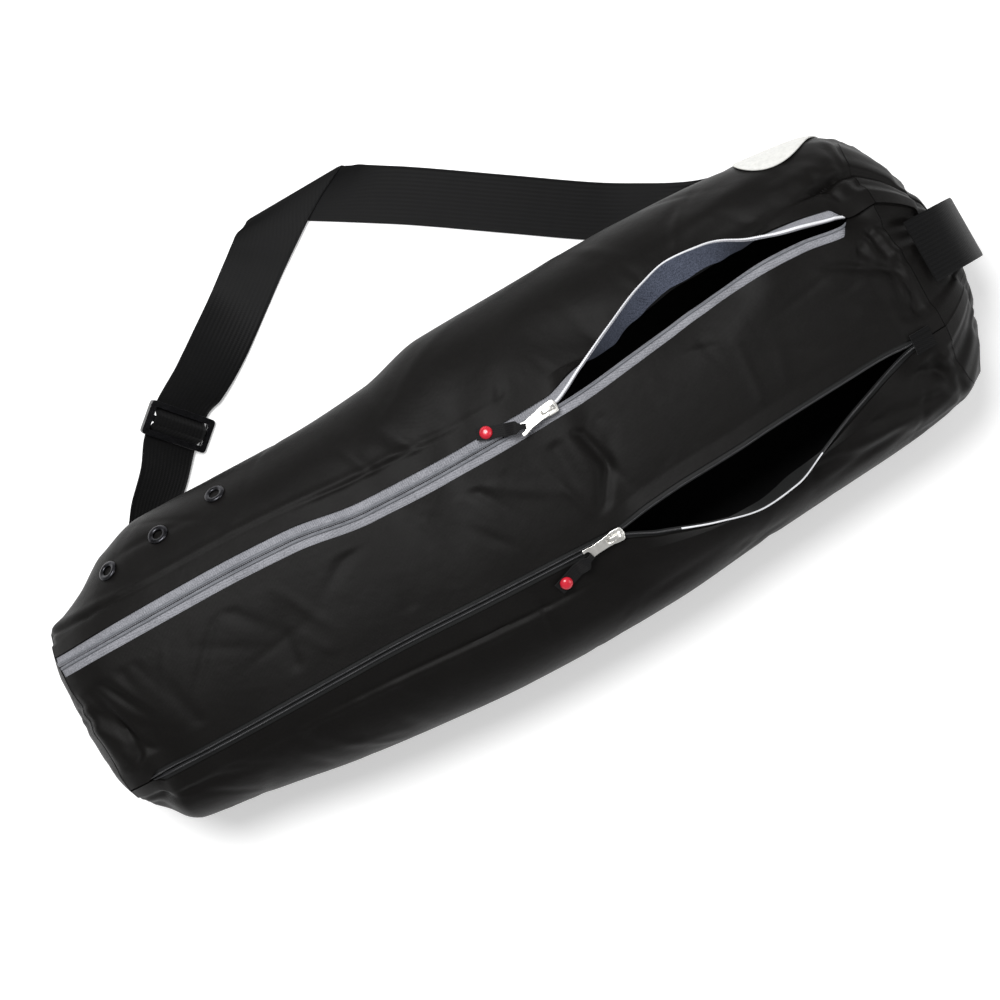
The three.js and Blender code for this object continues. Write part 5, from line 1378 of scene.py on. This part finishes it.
# %% Materials, bodies and slots
LOOKS = {
    "panel": ("black_nylon", [NYLON, LINING]),
    "ribbon": ("black_webbing", [RIBBON]),
    "button": ("red_plastic", [RED]),
    "tab": ("silver_metal", [SILVER]),
    "slider": ("silver_metal", [SILVER]),
}
NAMED = {
    "pocket_zip_end_tab": ("black_webbing", [WEBBING]),
    "shoulder_strap": ("black_webbing", [WEBBING]),
    "grab_handle": ("black_webbing", [WEBBING]),
    "strap_buckle": ("black_plastic", [GLOSS_BLACK]),
    "round_patch": ("white_patch", [PATCH]),
    # The second finish, on each tape's underside, is painted shade.
    "main_zip_upper_tape": ("grey_tape", [GREY_TAPE, GREY_TAPE_IN_PAINTED_SHADE]),
    "main_zip_lower_tape": ("grey_tape", [GREY_TAPE, GREY_TAPE_IN_PAINTED_SHADE]),
    # Main coils: mid grey painted shade, except the open stretch of the upper one, which is its own silver.
    "main_zip_upper_coil": ("silver_coil", [COIL_IN_PAINTED_SHADE, SILVER_COIL_AND_PAINTED_HIGHLIGHT]),
    "main_zip_lower_coil": ("silver_coil", [COIL_IN_PAINTED_SHADE]),
    "pocket_zip_upper_tape": ("black_tape", [BLACK_TAPE]),
    "pocket_zip_lower_tape": ("black_tape", [BLACK_TAPE]),
    "pocket_zip_upper_coil": ("black_tape", [COIL_BLACK]),
    # A stretch of this black coil is painted near white: a painted highlight where it curls up.
    "pocket_zip_lower_coil": ("black_tape", [COIL_BLACK, SILVER_COIL_AND_PAINTED_HIGHLIGHT]),
    "eyelet_1": ("dark_metal", [DARK_METAL]),
    "eyelet_2": ("dark_metal", [DARK_METAL]),
    "eyelet_3": ("dark_metal", [DARK_METAL]),
}
# From and to, in mm along the bag, where a coil takes its pale finish: the open silver stretch of the main
# coil, and a painted highlight where the black pocket coil curls up most.
PALE_COIL_STRETCHES = {
    "main_zip_upper_coil": (50, 400),
    "pocket_zip_lower_coil": (84, 196),
}
for name, piece in PIECES.items():
    slot_name, materials = NAMED.get(name) or LOOKS[name.split("_")[-1]]
    sides = np.zeros(len(piece.data.polygons), np.int32)
    piece.data.polygons.foreach_get("material_index", sides)
    for material in materials:
        piece.data.materials.append(material)
    piece.data.polygons.foreach_set("material_index", np.minimum(sides, len(materials) - 1))
    piece.name = name + "_looks"
    if name in PALE_COIL_STRETCHES:
        first, last = PALE_COIL_STRETCHES[name]
        centres = np.zeros(len(piece.data.polygons) * 3)
        piece.data.polygons.foreach_get("center", centres)
        x = centres[::3] * 1000
        piece.data.polygons.foreach_set("material_index", ((x > first) & (x < last)).astype(np.int32))
    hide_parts(name)
    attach(piece, "root")
print("pieces", len(PIECES), "nodes", len(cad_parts))

# %% [markdown]
# ## Floor, light and camera
# The bag lies on a plain pale floor under soft light from above, and the camera looks straight
# down with the bag turned across the frame. A large soft light from the top left gives the folds
# their shading, and a weaker one fills the other side.

# %% Floor
floor_mesh = bpy.data.meshes.new("floor")
floor_mesh.from_pydata([(-4, -4, -0.0005), (4, -4, -0.0005), (4, 4, -0.0005), (-4, 4, -0.0005)], [],
                       [(0, 1, 2, 3)])
floor = bpy.data.objects.new("floor", floor_mesh)
bpy.context.collection.objects.link(floor)
pale, tree, shader = finish("pale floor", 0.9, specular=0.1)
shader.inputs["Base Color"].default_value = linear(246, 246, 246)
shader.inputs["Emission Color"].default_value = (1, 1, 1, 1)
shader.inputs["Emission Strength"].default_value = 0.28
floor_mesh.materials.append(pale)

# %% Light and camera
world = bpy.data.worlds.new("soft studio")
bpy.context.scene.world = world
world.use_nodes = True
world.node_tree.nodes["Background"].inputs["Color"].default_value = (1, 1, 1, 1)
world.node_tree.nodes["Background"].inputs["Strength"].default_value = 0.36


def area_light(name, place, target, size, power):
    light = bpy.data.lights.new(name, "AREA")
    light.shape, light.size, light.energy = "DISK", size, power
    lamp = bpy.data.objects.new(name, light)
    lamp.location = place
    aim = np.array(target) - np.array(place)
    lamp.rotation_euler = (math.acos(-aim[2] / np.linalg.norm(aim)), 0,
                           math.atan2(aim[1], aim[0]) - math.pi / 2)
    bpy.context.collection.objects.link(lamp)
    return lamp


area_light("key", (-0.2, 0.65, 1.65), (0, 0, 0.05), 0.8, 31)
area_light("fill", (1.5, -0.9, 1.3), (0, 0, 0.05), 1.2, 11)

camera_data = bpy.data.cameras.new("camera")
camera_data.lens, camera_data.sensor_width = 65.9, 36.0
camera = bpy.data.objects.new("camera", camera_data)
camera.location = (-0.01641, 0.00084, 1.42)
camera.rotation_euler = (0, 0, math.radians(-29.5))
bpy.context.collection.objects.link(camera)
bpy.context.scene.camera = camera
bpy.context.scene.view_settings.view_transform = "Standard"
